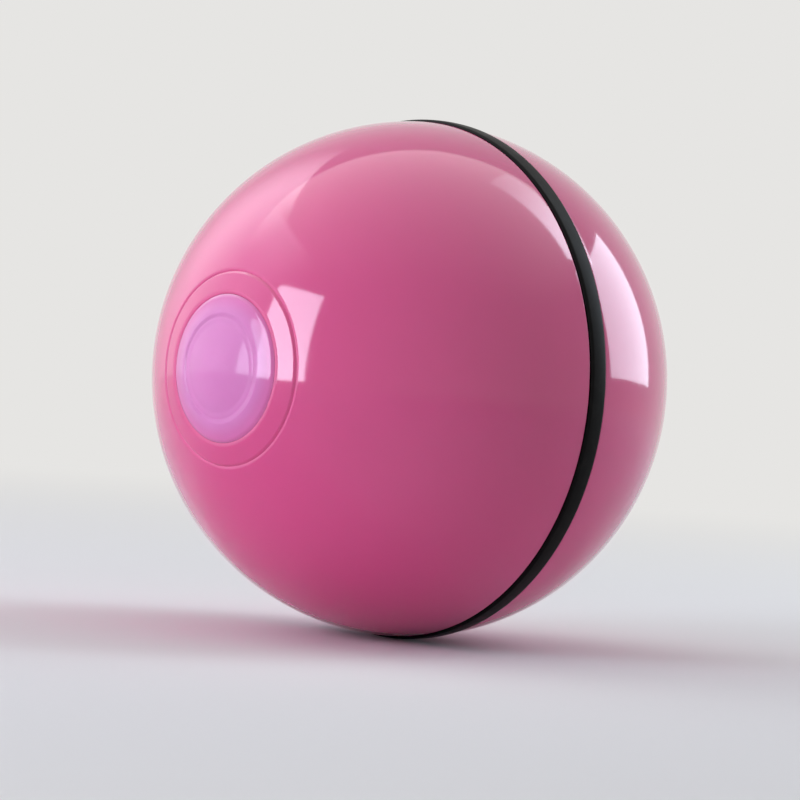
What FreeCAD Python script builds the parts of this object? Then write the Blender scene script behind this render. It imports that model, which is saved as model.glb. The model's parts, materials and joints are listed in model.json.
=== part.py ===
import FreeCAD, Part

import math
import os

from FreeCAD import Placement, Rotation, Vector

# A self-rolling pet ball. The origin is the ball's centre and X is the axle that the ball turns on.
# The left half is at -X and carries the drive. The right half, at +X, twists off to reach the charging
# socket and the button. The core hangs from the axle inside, with its weight down, at -Z.
# All sizes are in millimetres.

# Ball shell
ball_radius = 32.0
shell_wall = 2.0
seam_width = 2.6
seam_proud = 0.3
seam_side_gap = 0.05
seam_inner_gap = 0.05
seam_edge_round = 0.4
left_rim_round = 0.5
right_rim_round = 0.15
groove_radius = 11.7
groove_width = 0.9
groove_depth = 0.35

# Twist lock between the halves: short ridges on the left collar and in the right bore
collar_wall = 1.4
collar_outer_drop = 2.7
bore_drop = 1.8
ridge_thickness = 1.2
ridge_half_angle = 15.0
ridge_height = 0.7
ridge_embed = 0.2
ridge_gap = 0.15
ridge_rim_gap = 0.1
ridge_starts = 4
thread_lead = 30.0
collar_end_gap = 0.3

# Pole caps and the hubs that they cover
cap_radius = 8.85
cap_side_gap = 0.1
cap_seat_gap = 0.05
cap_edge_round = 0.35
cap_ring_radius = 6.0
cap_ring_width = 0.7
cap_ring_depth = 0.12
pocket_depth = 2.4
web_thickness = 1.8
web_overhang = 1.45
hub_flange_radius = 8.0
hub_flange_thickness = 2.4
hub_boss_length = 3.2
left_hub_boss_radius = 3.4
right_hub_boss_radius = 4.2
hub_spigot_radius = 2.6
hub_spigot_gap = 0.1
hub_spigot_short = 0.2
hub_screw_circle = 5.6
hub_screw_angles = [90.0, 210.0, 330.0]

# Small screws, all of one size
screw_radius = 0.95
screw_head_radius = 1.8
screw_head_height = 1.0
screw_hole_gap = 0.12
screw_pilot_gap = 0.02
screw_head_gap = 0.15
hub_screw_length = 3.0
plate_screw_length = 4.5
board_screw_length = 3.6
cover_screw_length = 7.0
screw_slot_width = 0.5
screw_slot_depth = 0.45

# Axle, bushes and washer
axle_radius = 1.5
running_gap = 0.04
fixed_gap = 0.02
flat_depth = 0.5
bush_wall = 0.8
bush_flange_width = 0.7
bush_flange_thickness = 0.6
washer_thickness = 0.6
washer_radius = 3.2
washer_gap = 0.05
clip_thickness = 0.5
clip_radius = 2.6
clip_mouth = 2.0
clip_gap = 0.25
axle_end_past_clip = 0.6
axle_end_chamfer = 0.25
stub_tip_gap = 0.3

# Core housing, a drum with rounded ends
core_sphere_gap = 2.0
core_drum_gap = 1.5
core_wall = 1.6
core_cover_depth = 12.0
right_hub_gap = 0.7
lip_length = 1.5
lip_thickness = 0.7
lip_gap = 0.1
cover_boss_radius = 3.8
cover_boss_length = 3.5
cover_inner_boss_length = 4.2
core_edge_round = 0.8

# Gear train between the cup's end and the gear plate
gear_module = 0.4
pinion_teeth = 10
wheel_teeth = 36
output_teeth = 44
pressure_angle = 20.0
profile_shift = 0.4
addendum = 0.9
dedendum = 1.25
flank_gap = 0.03
output_gear_width = 2.5
wheel_width = 2.1
gear_side_gap = 0.2
motor_to_second_gear = 16.1
pin_radius = 0.75
gear_bore_gap = 0.05
pin_boss_radius = 1.4
plate_pin_boss_radius = 1.15
pin_plate_depth = 1.2
flank_points = 5

# Gear plate, its posts and the motor cradle on it
plate_thickness = 1.6
plate_edge_gap = 0.6
post_radius = 2.2
post_inset = 3.1
post_angles = [60.0, 120.0, 231.5, 308.5]
cradle_wall = 1.2
cradle_shorter_than_can = 5.6
cradle_gap = 0.1
cradle_clip_gap = 0.3

# Motor
motor_width = 12.0
motor_height = 10.0
motor_board_gap = 3.6
motor_cap_length = 1.4
motor_cap_inset = 0.2
motor_nose_radius = 2.0
motor_nose_length = 0.8
motor_shaft_radius = 0.5
motor_can_end_wall = 1.6
motor_tab_spread = 7.0
motor_tab_size = 1.6
motor_tab_thickness = 0.4
motor_tab_length = 1.5

# Battery, pad and counterweight, which fill the room between the gear plate and the board
battery_width = 21.0
battery_height = 4.5
battery_round = 0.9
battery_motor_gap = 0.3
battery_plate_gap = 0.3
battery_board_gap = 1.8
pad_thickness = 0.5
pad_inset = 1.5
weight_gap = 0.1
weight_height = 3.4
weight_plate_gap = 0.3
weight_board_gap = 2.2

# Cover screws, their bosses in the cup and pillars in the cover
cover_boss_inset = 2.0
cover_boss_angles = [42.0, 138.0, 199.0, 341.0]
cup_boss_radius = 2.4
cup_boss_length = 12.0
pillar_radius = 2.9
pillar_floor = 1.8
notch_gap = 0.4

# Control board and what is soldered to it
board_thickness = 1.2
board_edge_gap = 4.3
board_drop = 4.7
board_post_radius = 2.2
board_post_inset = 2.9
board_post_angles = [90.0, 234.0, 306.0]
socket_inset = 9.5
socket_width = 8.94
socket_height = 3.26
socket_wall = 0.3
socket_floor = 1.4
socket_slot_gap = 0.15
tongue_width = 6.7
tongue_thickness = 0.7
tongue_length = 4.4
switch_inset = 10.0
switch_size = 6.0
switch_height = 2.6
switch_edge_round = 0.4
plunger_radius = 1.7
plunger_gap = 0.08
plunger_depth = 1.0
button_radius = 3.9
button_gap = 0.12
button_proud = 0.8
button_travel = 0.5
button_flange_width = 0.9
button_flange_thickness = 0.8
button_flange_gap = 0.05
button_edge_round = 0.4
motion_can_spot = (-9.0, -4.5)
motion_can_radius = 2.2
motion_can_height = 3.8
motion_can_round = 0.4
chip_spot = (9.5, -4.0)
chip_length = 5.0
chip_width = 4.0
chip_height = 1.5
chip_leg_width = 0.5
chip_leg_reach = 1.0
chip_leg_pitch = 1.27
chip_leg_count = 4
chip_leg_thickness = 0.2
lamp_spots = [(10.5, 5.0), (-10.5, 5.0)]
lamp_size = 2.8
lamp_height = 1.0
lens_radius = 1.6
lens_gap = 0.1
lens_lamp_gap = 0.3
lens_proud = 0.3
lens_flange_width = 0.7
lens_flange_thickness = 1.0
component_spots = [(9.5, 1.5), (-6.0, 7.5), (6.0, 7.5), (4.6, -5.2), (-4.6, -5.2)]
edge_component_spread = 6.5
edge_component_inset = 4.0
component_length = 2.0
component_width = 1.25
component_height = 0.8

# Leads inside the core. A route's points are (along the axle, outwards, upwards) from where it starts, and
# its pad on the board is (outwards, upwards) from there
lead_radius = 0.4
lead_corner_share = 0.45
lead_board_run = 2.6
motor_lead_route = [(0.0, 0.0, 0.0), (0.0, 3.8, 0.0), (-0.2, 7.2, 2.6), (0.4, 9.0, 6.2)]
motor_lead_pad = (9.3, 8.4)
battery_lead_inset = 3.0
battery_lead_pitch = 2.0
battery_lead_route = [(0.0, 0.0, 0.0), (0.0, 3.0, 0.0), (0.2, 5.4, 3.9), (0.9, 5.8, 8.4)]
battery_lead_pad = (5.3, 10.6)

# Two places closer than this are taken as the same
same_place = 1e-4

centre = Vector(0, 0, 0)
axle = Vector(1, 0, 0)
far = 4 * ball_radius


def ring_height(distance, radius):
    """How far from the axle a sphere of this radius about the centre is, at this distance along it."""
    return math.sqrt(radius**2 - distance**2)


# Sizes worked out from the driving ones
half_seam = seam_width / 2
inner_radius = ball_radius - shell_wall
collar_outer = ball_radius - collar_outer_drop
collar_inner = collar_outer - collar_wall
bore_radius = ball_radius - bore_drop
ridge_middle = (collar_outer + bore_radius) / 2
ridge_slope = thread_lead / (2 * math.pi * ridge_middle)
ridge_tilt = math.atan(ridge_slope)
ridge_axial = ridge_thickness / math.cos(ridge_tilt)
ridge_half_length = ridge_middle * math.sin(math.radians(ridge_half_angle))
ridge_half_reach = ridge_axial / 2 + ridge_half_length * ridge_slope
right_ridge_x = half_seam + ridge_rim_gap + ridge_half_reach
left_ridge_x = right_ridge_x + ridge_axial + ridge_gap
collar_end = left_ridge_x + ridge_half_reach + ridge_rim_gap
bore_end = collar_end + collar_end_gap

pocket_floor = ball_radius - pocket_depth
pocket_radius = cap_radius + cap_side_gap
web_face = pocket_floor - web_thickness
web_radius = pocket_radius + web_overhang
hub_face = web_face - hub_flange_thickness
hub_end = hub_face - hub_boss_length
spigot_end = pocket_floor - hub_spigot_short
spigot_hole = hub_spigot_radius + hub_spigot_gap

core_sphere = inner_radius - core_sphere_gap
core_drum = collar_inner - core_drum_gap
core_sphere_inside = core_sphere - core_wall
core_drum_inside = core_drum - core_wall
core_left_face = hub_end - washer_thickness - 2 * washer_gap
cover_boss_end = hub_end - right_hub_gap
core_right_face = cover_boss_end - cover_boss_length
core_split = core_right_face - core_cover_depth
cup_inner_face = core_left_face - core_wall
cover_inner_face = core_right_face - core_wall
cover_inner_boss_end = cover_inner_face - cover_inner_boss_length
bush_radius = axle_radius + running_gap + bush_wall
bush_hole = bush_radius + fixed_gap
bush_flange_radius = bush_radius + bush_flange_width
boss_end = core_split - lip_length - lip_gap

# Stations of the gear train along the axle, from the cup's end inwards
output_gear_start = -cup_inner_face + bush_flange_thickness + gear_side_gap
output_gear_end = output_gear_start + output_gear_width
second_pinion_end = output_gear_end + gear_side_gap
second_wheel_end = second_pinion_end + wheel_width
first_pinion_end = second_wheel_end + gear_side_gap
first_wheel_end = first_pinion_end + wheel_width
plate_start = first_wheel_end + bush_flange_thickness + gear_side_gap
plate_end = plate_start + plate_thickness
board_face = cover_inner_face - board_drop
board_start = board_face - board_thickness
motor_tab_end = board_start - motor_board_gap
motor_end = motor_tab_end - motor_tab_length
motor_can_end = motor_end - motor_cap_length
motor_shaft_end = motor_can_end - motor_can_end_wall
cradle_end = motor_can_end - cradle_shorter_than_can
battery_start = plate_end + battery_plate_gap
battery_end = board_start - battery_board_gap
weight_start = plate_end + weight_plate_gap
weight_end = board_start - weight_board_gap

# Heights, from the counterweight in the bottom of the core up to the motor
weight_top = weight_gap + weight_height - core_drum_inside
battery_bottom = weight_top + pad_thickness
battery_top = battery_bottom + battery_height
motor_drop = -battery_top - battery_motor_gap - motor_height / 2

# Places of the gears' axles across the core, as (y, z)
stage_distance = gear_module * (pinion_teeth + wheel_teeth) / 2
output_distance = gear_module * (pinion_teeth + output_teeth) / 2
output_spot = (0.0, 0.0)
motor_spot = (0.0, -motor_drop)


def second_gear_spot():
    """The second gear's axle, from the three sides of its triangle with the output shaft and the motor."""
    squares = motor_drop**2 + output_distance**2 - motor_to_second_gear**2
    turn = math.acos(squares / (2 * motor_drop * output_distance))
    return (output_distance * math.sin(turn), -output_distance * math.cos(turn))


def first_gear_spot():
    """The first gear's axle: one stage from both the motor and the second gear, on the outer side."""
    across = (second_spot[0] - motor_spot[0], second_spot[1] - motor_spot[1])
    span = motor_to_second_gear
    offset = math.sqrt(stage_distance**2 - (span / 2) ** 2)
    y = motor_spot[0] + across[0] / 2 + offset * across[1] / span
    z = motor_spot[1] + across[1] / 2 - offset * across[0] / span
    return (y, z)


def on_circle(radius, angles):
    """Places (y, z) on a circle about the axle, at these angles from Y in degrees."""
    turns = [math.radians(angle) for angle in angles]
    return [(radius * math.cos(turn), radius * math.sin(turn)) for turn in turns]


second_spot = second_gear_spot()
first_spot = first_gear_spot()

# Places of the screws, and of what is soldered to the board
board_radius = core_drum_inside - board_edge_gap
hub_screw_spots = on_circle(hub_screw_circle, hub_screw_angles)
post_spots = on_circle(core_drum_inside - post_inset, post_angles)
cover_boss_spots = on_circle(core_drum_inside - cover_boss_inset, cover_boss_angles)
board_post_spots = on_circle(board_radius - board_post_inset, board_post_angles)
socket_spot = (0.0, board_radius - socket_inset)
switch_spot = (0.0, switch_inset - board_radius)
edge_component_spots = [
    (side * edge_component_spread, board_radius - edge_component_inset) for side in (-1, 1)
]


def turned(outline):
    """A solid of revolution about the axle. Each point is (x, radius), joined to the one before by a
    line, or by an arc about the ball's centre where a third number gives that arc's radius."""
    edges = []
    for start, end in zip(outline[-1:] + outline[:-1], outline):
        a = Vector(start[0], 0, start[1])
        b = Vector(end[0], 0, end[1])
        if len(end) == 3:
            middle = (a + b).normalize() * end[2]
            edges.append(Part.Arc(a, middle, b).toShape())
        else:
            edges.append(Part.LineSegment(a, b).toShape())
    return Part.Face(Part.Wire(edges)).revolve(centre, axle, 360)


def rod(start, end, radius, spot=(0.0, 0.0)):
    """A cylinder along the axle's direction from one x to another, through (y, z)."""
    return Part.makeCylinder(radius, end - start, Vector(start, spot[0], spot[1]), axle)


def block(start, end, width, height, spot=(0.0, 0.0)):
    """A box from one x to another, centred on (y, z)."""
    corner = Vector(start, spot[0] - width / 2, spot[1] - height / 2)
    return Part.makeBox(end - start, width, height, corner)


def slot_block(start, end, width, height, spot):
    """A block whose two ends across Y are half round."""
    reach = (width - height) / 2
    solid = block(start, end, 2 * reach, height, spot)
    for side in (-1, 1):
        solid = solid.fuse(rod(start, end, height / 2, (spot[0] + side * reach, spot[1])))
    return solid.removeSplitter()


def fused(first, others):
    for other in others:
        first = first.fuse(other)
    return first.removeSplitter()


def cut_all(first, others):
    for other in others:
        first = first.cut(other)
    return first


def circle_edges(solid, x, radius):
    """The full circles about the axle at this x and of this radius."""
    found = []
    for edge in solid.Edges:
        if edge.Degenerated or not isinstance(edge.Curve, Part.Circle) or not edge.Closed:
            continue
        same_x = abs(edge.Curve.Center.x - x) < same_place
        if same_x and abs(edge.Curve.Radius - radius) < same_place:
            found.append(edge)
    return found


def edges_across(solid, x):
    """The edges that lie in the plane across the axle at this x."""
    return [edge for edge in solid.Edges if abs(edge.BoundBox.XMin - x) < same_place]


def edges_along(solid):
    """The edges that run in the axle's direction."""
    steep = [(edge, abs(edge.tangentAt(edge.FirstParameter).x)) for edge in solid.Edges]
    return [edge for edge, slope in steep if slope > 1 - same_place]


def turned_about(solid, degrees):
    copy = solid.copy()
    copy.rotate(centre, axle, degrees)
    return copy


def mirrored(solid):
    return solid.mirror(centre, axle)


def ring_groove(sphere, at_radius, width, depth):
    """A ring tool that leaves a round-bottomed groove of this width and depth in a sphere's left pole."""
    tool_radius = (width**2 / 4 + depth**2) / (2 * depth)
    scale = (sphere + tool_radius - depth) / sphere
    x = -ring_height(at_radius, sphere) * scale
    return Part.makeTorus(at_radius * scale, tool_radius, Vector(x, 0, 0), axle)


def screw(head_side, seat, length, spot):
    """A pan-head screw whose head sits on the plane x = seat and points to head_side, -1 or 1."""
    head = rod(0, screw_head_height, screw_head_radius)
    slot = block(screw_head_height - screw_slot_depth, far, screw_slot_width, far)
    shank = rod(-length, 0, screw_radius)
    solid = head.cut(slot).fuse(shank).removeSplitter()
    if head_side < 0:
        solid = mirrored(solid)
    solid.translate(Vector(seat, spot[0], spot[1]))
    return solid


def ridges(x, inner, outer):
    """The short helical ridges of the twist lock, each a tilted slab cut to a band about the axle."""
    height = outer + ridge_embed
    slab = Part.makeBox(
        ridge_thickness,
        height,
        2 * ridge_half_length / math.cos(ridge_tilt),
        Vector(-ridge_thickness / 2, 0, -ridge_half_length / math.cos(ridge_tilt)),
    )
    slab.rotate(centre, Vector(0, 1, 0), math.degrees(ridge_tilt))
    slab.translate(Vector(x, 0, 0))
    band = rod(x - 2 * ridge_half_reach, x + 2 * ridge_half_reach, outer)
    band = band.cut(rod(x - far, x + far, inner))
    ridge = slab.common(band)
    return [turned_about(ridge, 360.0 * index / ridge_starts) for index in range(ridge_starts)]


def hub_seat_cuts():
    """The screw holes and the head recesses in a shell's web, on the left side."""
    cuts = []
    for spot in hub_screw_spots:
        cuts.append(rod(-ball_radius, 0, screw_radius + screw_hole_gap, spot))
        recess_end = -pocket_floor + screw_head_height + screw_hole_gap
        cuts.append(rod(-ball_radius, recess_end, screw_head_radius + screw_hole_gap, spot))
    return cuts


def shell_outline(rim):
    """The outline of a half shell on the left side, with the points of its rim given."""
    return [
        (-web_face, spigot_hole),
        (-pocket_floor, spigot_hole),
        (-pocket_floor, pocket_radius),
        (-ring_height(pocket_radius, ball_radius), pocket_radius),
        (-half_seam, ring_height(half_seam, ball_radius), ball_radius),
        *rim,
        (-ring_height(web_radius, inner_radius), web_radius, inner_radius),
        (-web_face, web_radius),
    ]


def finished_shell(solid, rim_round):
    """Rounds the pocket's edge and the rim of a left-side shell and cuts its groove and screw holes."""
    pocket_edge = circle_edges(solid, -ring_height(pocket_radius, ball_radius), pocket_radius)
    solid = solid.makeFillet(cap_edge_round, pocket_edge)
    rim_edge = circle_edges(solid, -half_seam, ring_height(half_seam, ball_radius))
    solid = solid.makeFillet(rim_round, rim_edge)
    solid = solid.cut(ring_groove(ball_radius, groove_radius, groove_width, groove_depth))
    return cut_all(solid, hub_seat_cuts())


def left_shell():
    rim = [
        (-half_seam, collar_outer),
        (collar_end, collar_outer),
        (collar_end, collar_inner),
        (-ring_height(collar_inner, inner_radius), collar_inner),
    ]
    shell = finished_shell(turned(shell_outline(rim)), left_rim_round)
    return fused(shell, ridges(left_ridge_x, collar_outer - ridge_embed, collar_outer + ridge_height))


def right_shell():
    rim = [
        (-half_seam, bore_radius),
        (-bore_end, bore_radius),
        (-bore_end, ring_height(bore_end, inner_radius)),
    ]
    shell = mirrored(finished_shell(turned(shell_outline(rim)), right_rim_round))
    return fused(shell, ridges(right_ridge_x, bore_radius - ridge_height, bore_radius + ridge_embed))


def seam_ring():
    half_width = half_seam - seam_side_gap
    outer = ball_radius + seam_proud
    inner = collar_outer + seam_inner_gap
    ring = turned([(-half_width, inner), (-half_width, outer), (half_width, outer), (half_width, inner)])
    edges = circle_edges(ring, -half_width, outer) + circle_edges(ring, half_width, outer)
    return ring.makeFillet(seam_edge_round, edges)


def left_pole_cap():
    edge_x = -ring_height(cap_radius, ball_radius)
    seat = -pocket_floor - cap_seat_gap
    ball = Part.makeSphere(ball_radius, centre, axle)
    cap = ball.common(rod(-far, seat, cap_radius))
    cap = cap.makeFillet(cap_edge_round, circle_edges(cap, edge_x, cap_radius))
    return cap.cut(ring_groove(ball_radius, cap_ring_radius, cap_ring_width, cap_ring_depth))


def hub_blank(boss_radius):
    """The flange, boss and spigot of a hub on the left side, with its screw holes."""
    hub = fused(
        rod(-web_face, -hub_face, hub_flange_radius),
        [rod(-hub_face, -hub_end, boss_radius), rod(-spigot_end, -web_face, hub_spigot_radius)],
    )
    hole = screw_radius + screw_pilot_gap
    return cut_all(hub, [rod(-web_face, -hub_face, hole, spot) for spot in hub_screw_spots])


def left_hub():
    return hub_blank(left_hub_boss_radius).cut(flatted_rod(-spigot_end - far, far, axle_radius + fixed_gap))


def right_hub():
    bush_end = -web_face + fixed_gap
    hub = hub_blank(right_hub_boss_radius)
    return mirrored(hub.cut(rod(-web_face, 0, bush_hole)))


def left_hub_screws():
    seat = -pocket_floor + screw_head_height + screw_hole_gap
    return Part.makeCompound([screw(-1, seat, hub_screw_length, spot) for spot in hub_screw_spots])


def flatted_rod(start, end, radius):
    """A rod about the axle with a flat along its top, flat_depth under the round axle's surface."""
    shave = block(start, end, 4 * radius, 4 * radius, (0.0, axle_radius - flat_depth + 2 * radius))
    return rod(start, end, radius).cut(shave)


def output_shaft():
    """The shaft that is fixed to the left half: flats in the hub and the gear, a groove for the clip."""
    clip_start = plate_end + clip_gap
    end = clip_start + clip_thickness + axle_end_past_clip
    shaft = rod(-spigot_end, end, axle_radius)
    shaft = shaft.makeChamfer(axle_end_chamfer, circle_edges(shaft, end, axle_radius))
    for start, stop in ((-spigot_end, -hub_end), (output_gear_start, output_gear_end)):
        shaft = shaft.cut(rod(start, stop, 2 * axle_radius).cut(flatted_rod(start, stop, axle_radius)))
    groove = rod(clip_start - fixed_gap, clip_start + clip_thickness + fixed_gap, 2 * axle_radius)
    return shaft.cut(groove.cut(rod(-far, far, axle_radius - flat_depth)))


def shaft_clip():
    start = plate_end + clip_gap
    clip = rod(start, start + clip_thickness, clip_radius)
    clip = clip.cut(rod(start, start + clip_thickness, axle_radius - flat_depth + fixed_gap))
    mouth = block(start, start + clip_thickness, clip_mouth, far, (0.0, -far / 2))
    return clip.cut(mouth)


def thrust_washer():
    start = -hub_end + washer_gap
    washer = rod(start, start + washer_thickness, washer_radius)
    return washer.cut(rod(start, start + washer_thickness, axle_radius + running_gap))


def flanged_bush(flange_start, flange_end, barrel_end):
    """A bush whose barrel runs from its flange to barrel_end, bored for the axle."""
    low = min(flange_start, flange_end)
    high = max(flange_start, flange_end)
    flange = rod(low, high, bush_flange_radius)
    barrel = rod(min(low, barrel_end), max(high, barrel_end), bush_radius)
    return flange.fuse(barrel).cut(rod(-far, far, axle_radius + running_gap)).removeSplitter()


def cup_bush():
    return flanged_bush(-cup_inner_face, -cup_inner_face + bush_flange_thickness, -core_left_face)


def plate_bush():
    return flanged_bush(plate_start - bush_flange_thickness, plate_start, plate_end)


def right_bush():
    return flanged_bush(hub_end - bush_flange_thickness, hub_end, web_face - fixed_gap)


def stub_axle():
    start = cover_inner_boss_end
    end = web_face - stub_tip_gap
    pin = rod(start, end, axle_radius)
    return pin.makeChamfer(axle_end_chamfer, circle_edges(pin, end, axle_radius))


def involute(angle):
    return math.tan(angle) - angle


def tooth_outline(teeth, shift):
    """Radii of a gear and half the angle of its tooth at any radius, from the involute of its base circle."""
    pitch = gear_module * teeth / 2
    base = pitch * math.cos(math.radians(pressure_angle))
    tip = pitch + gear_module * (addendum + shift)
    root = pitch - gear_module * (dedendum - shift)
    thickness = gear_module * (math.pi / 2 + 2 * shift * math.tan(math.radians(pressure_angle)))
    half_at_pitch = (thickness / 2 - flank_gap) / pitch

    def half_angle(radius):
        here = involute(math.acos(min(1.0, base / radius)))
        return half_at_pitch + involute(math.radians(pressure_angle)) - here

    return base, tip, root, half_angle


def gear(start, end, teeth, shift, spot, first_tooth):
    """A spur gear about the axle's direction through spot, with one tooth's middle at first_tooth."""
    base, tip, root, half_angle = tooth_outline(teeth, shift)

    def point(radius, angle):
        return Vector(start, spot[0] + radius * math.cos(angle), spot[1] + radius * math.sin(angle))

    lowest = max(base, root)
    radii = [lowest + (tip - lowest) * index / (flank_points - 1) for index in range(flank_points)]
    pitch_angle = 2 * math.pi / teeth
    edges = []
    for index in range(teeth):
        middle = first_tooth + index * pitch_angle
        rising = [point(radius, middle - half_angle(radius)) for radius in radii]
        falling = [point(radius, middle + half_angle(radius)) for radius in reversed(radii)]
        foot = half_angle(lowest)
        next_foot = middle + pitch_angle - foot
        if root < base:
            edges.append(Part.LineSegment(point(root, middle - foot), rising[0]).toShape())
        for flank in (rising, falling):
            curve = Part.BSplineCurve()
            curve.interpolate(flank)
            edges.append(curve.toShape())
            if flank is rising:
                edges.append(Part.Arc(rising[-1], point(tip, middle), falling[0]).toShape())
        if root < base:
            edges.append(Part.LineSegment(falling[-1], point(root, middle + foot)).toShape())
        valley_start = point(min(root, lowest), middle + foot)
        valley_middle = point(root, middle + pitch_angle / 2)
        edges.append(Part.Arc(valley_start, valley_middle, point(min(root, lowest), next_foot)).toShape())
    return Part.Face(Part.Wire(edges)).extrude(Vector(end - start, 0, 0))


def meshing_tooth(teeth, first_tooth, spot, other_teeth, other_spot):
    """Where the other gear's first tooth lies, so that its gap takes this gear's nearest tooth."""
    line = math.atan2(other_spot[1] - spot[1], other_spot[0] - spot[0])
    pitch_angle = 2 * math.pi / teeth
    past = (first_tooth - line + pitch_angle / 2) % pitch_angle - pitch_angle / 2
    return line + math.pi - past * teeth / other_teeth + math.pi / other_teeth


# The first tooth of each gear, worked back from the output gear to the motor
output_tooth = math.radians(90.0)
second_pinion_tooth = meshing_tooth(output_teeth, output_tooth, output_spot, pinion_teeth, second_spot)
second_wheel_tooth = second_pinion_tooth
first_pinion_tooth = meshing_tooth(wheel_teeth, second_wheel_tooth, second_spot, pinion_teeth, first_spot)
first_wheel_tooth = first_pinion_tooth
motor_tooth = meshing_tooth(wheel_teeth, first_wheel_tooth, first_spot, pinion_teeth, motor_spot)


def output_gear():
    wheel = gear(output_gear_start, output_gear_end, output_teeth, -profile_shift, output_spot, output_tooth)
    return wheel.cut(flatted_rod(-far, far, axle_radius + fixed_gap))


def two_step_gear(pinion_start, step, wheel_end, spot, pinion_tooth, wheel_tooth):
    """A wheel with a pinion moulded on its left side, bored to run on its pin."""
    pinion = gear(pinion_start, step, pinion_teeth, profile_shift, spot, pinion_tooth)
    wheel = gear(step, wheel_end, wheel_teeth, -profile_shift, spot, wheel_tooth)
    return pinion.fuse(wheel).cut(rod(-far, far, pin_radius + gear_bore_gap, spot))


def second_gear():
    return two_step_gear(
        output_gear_start,
        second_pinion_end,
        second_wheel_end,
        second_spot,
        second_pinion_tooth,
        second_wheel_tooth,
    )


def first_gear():
    return two_step_gear(
        second_pinion_end + gear_side_gap,
        first_pinion_end,
        first_wheel_end,
        first_spot,
        first_pinion_tooth,
        first_wheel_tooth,
    )


def motor_pinion():
    start = first_pinion_end - gear_side_gap / 2
    pinion = gear(start, first_wheel_end, pinion_teeth, profile_shift, motor_spot, motor_tooth)
    return pinion.cut(rod(-far, far, motor_shaft_radius + fixed_gap, motor_spot))


def motor_shaft():
    start = first_pinion_end - gear_side_gap / 2
    return rod(start, motor_shaft_end, motor_shaft_radius, motor_spot)


def gear_pins():
    start = -cup_inner_face
    end = plate_start + pin_plate_depth
    return Part.makeCompound([rod(start, end, pin_radius, spot) for spot in (first_spot, second_spot)])


def cup_outline():
    return [
        (-core_left_face, bush_hole),
        (-core_left_face, ring_height(core_left_face, core_sphere)),
        (-ring_height(core_drum, core_sphere), core_drum, core_sphere),
        (core_split, core_drum),
        (core_split, core_drum_inside + lip_thickness + lip_gap),
        (boss_end, core_drum_inside + lip_thickness + lip_gap),
        (boss_end, core_drum_inside),
        (-ring_height(core_drum_inside, core_sphere_inside), core_drum_inside),
        (-cup_inner_face, ring_height(cup_inner_face, core_sphere_inside), core_sphere_inside),
        (-cup_inner_face, bush_hole),
    ]


def core_cup():
    cup = turned(cup_outline())
    face_edge = circle_edges(cup, -core_left_face, ring_height(core_left_face, core_sphere))
    cup = cup.makeFillet(core_edge_round, face_edge)
    left_part = rod(-cup_inner_face - fixed_gap, 0, core_drum)
    envelope = left_part.common(Part.makeSphere(core_sphere, centre, axle))
    posts = [rod(-cup_inner_face, plate_start, post_radius, spot) for spot in post_spots]
    posts.append(rod(-cup_inner_face, second_pinion_end, pin_boss_radius, first_spot))
    posts.append(rod(-cup_inner_face, output_gear_start - gear_side_gap, pin_boss_radius, second_spot))
    posts = [post.common(envelope) for post in posts]
    bosses = [rod(boss_end - cup_boss_length, boss_end, cup_boss_radius, spot) for spot in cover_boss_spots]
    cup = fused(cup, posts + bosses)
    hole = screw_radius + screw_pilot_gap
    cuts = [rod(plate_end - plate_screw_length - fixed_gap, plate_end, hole, spot) for spot in post_spots]
    cuts += [rod(boss_end - cover_screw_length, boss_end, hole, spot) for spot in cover_boss_spots]
    cuts += [rod(-cup_inner_face, plate_end, pin_radius, spot) for spot in (first_spot, second_spot)]
    return cut_all(cup, cuts)


def cover_outline():
    return [
        (core_split - lip_length, core_drum_inside),
        (core_split - lip_length, core_drum_inside + lip_thickness),
        (core_split, core_drum_inside + lip_thickness),
        (core_split, core_drum),
        (ring_height(core_drum, core_sphere), core_drum),
        (core_right_face, ring_height(core_right_face, core_sphere), core_sphere),
        (core_right_face, cover_boss_radius),
        (cover_boss_end, cover_boss_radius),
        (cover_boss_end, axle_radius + fixed_gap),
        (cover_inner_boss_end, axle_radius + fixed_gap),
        (cover_inner_boss_end, cover_boss_radius),
        (cover_inner_face, cover_boss_radius),
        (cover_inner_face, ring_height(cover_inner_face, core_sphere_inside)),
        (ring_height(core_drum_inside, core_sphere_inside), core_drum_inside, core_sphere_inside),
    ]


def core_cover():
    cover = turned(cover_outline())
    face_edge = circle_edges(cover, core_right_face, ring_height(core_right_face, core_sphere))
    cover = cover.makeFillet(core_edge_round, face_edge)
    narrow = rod(boss_end, core_split, core_drum_inside + lip_thickness)
    wide = rod(core_split, core_right_face, core_drum).common(Part.makeSphere(core_sphere, centre, axle))
    envelope = narrow.fuse(wide)
    pillars = [rod(boss_end, core_right_face, pillar_radius, spot) for spot in cover_boss_spots]
    pillars = [pillar.common(envelope) for pillar in pillars]
    posts = [rod(board_face, cover_inner_face, board_post_radius, spot) for spot in board_post_spots]
    cover = fused(cover, pillars + posts)
    seat = boss_end + pillar_floor
    hole = screw_radius + screw_pilot_gap
    hole_end = board_start + board_screw_length + fixed_gap
    cuts = [rod(board_face, hole_end, hole, spot) for spot in board_post_spots]
    for spot in cover_boss_spots:
        cuts.append(rod(boss_end, seat, screw_radius + screw_hole_gap, spot))
        cuts.append(rod(seat, far, screw_head_radius + screw_head_gap, spot))
    opening_width = socket_width + 2 * socket_slot_gap
    opening_height = socket_height + 2 * socket_slot_gap
    cuts.append(slot_block(board_face, far, opening_width, opening_height, socket_spot))
    cuts.append(rod(cover_inner_face - core_wall, far, button_radius + button_gap, switch_spot))
    cuts += [rod(cover_inner_face - core_wall, far, lens_radius + lens_gap, spot) for spot in lamp_spots]
    return cut_all(cover, cuts)


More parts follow.
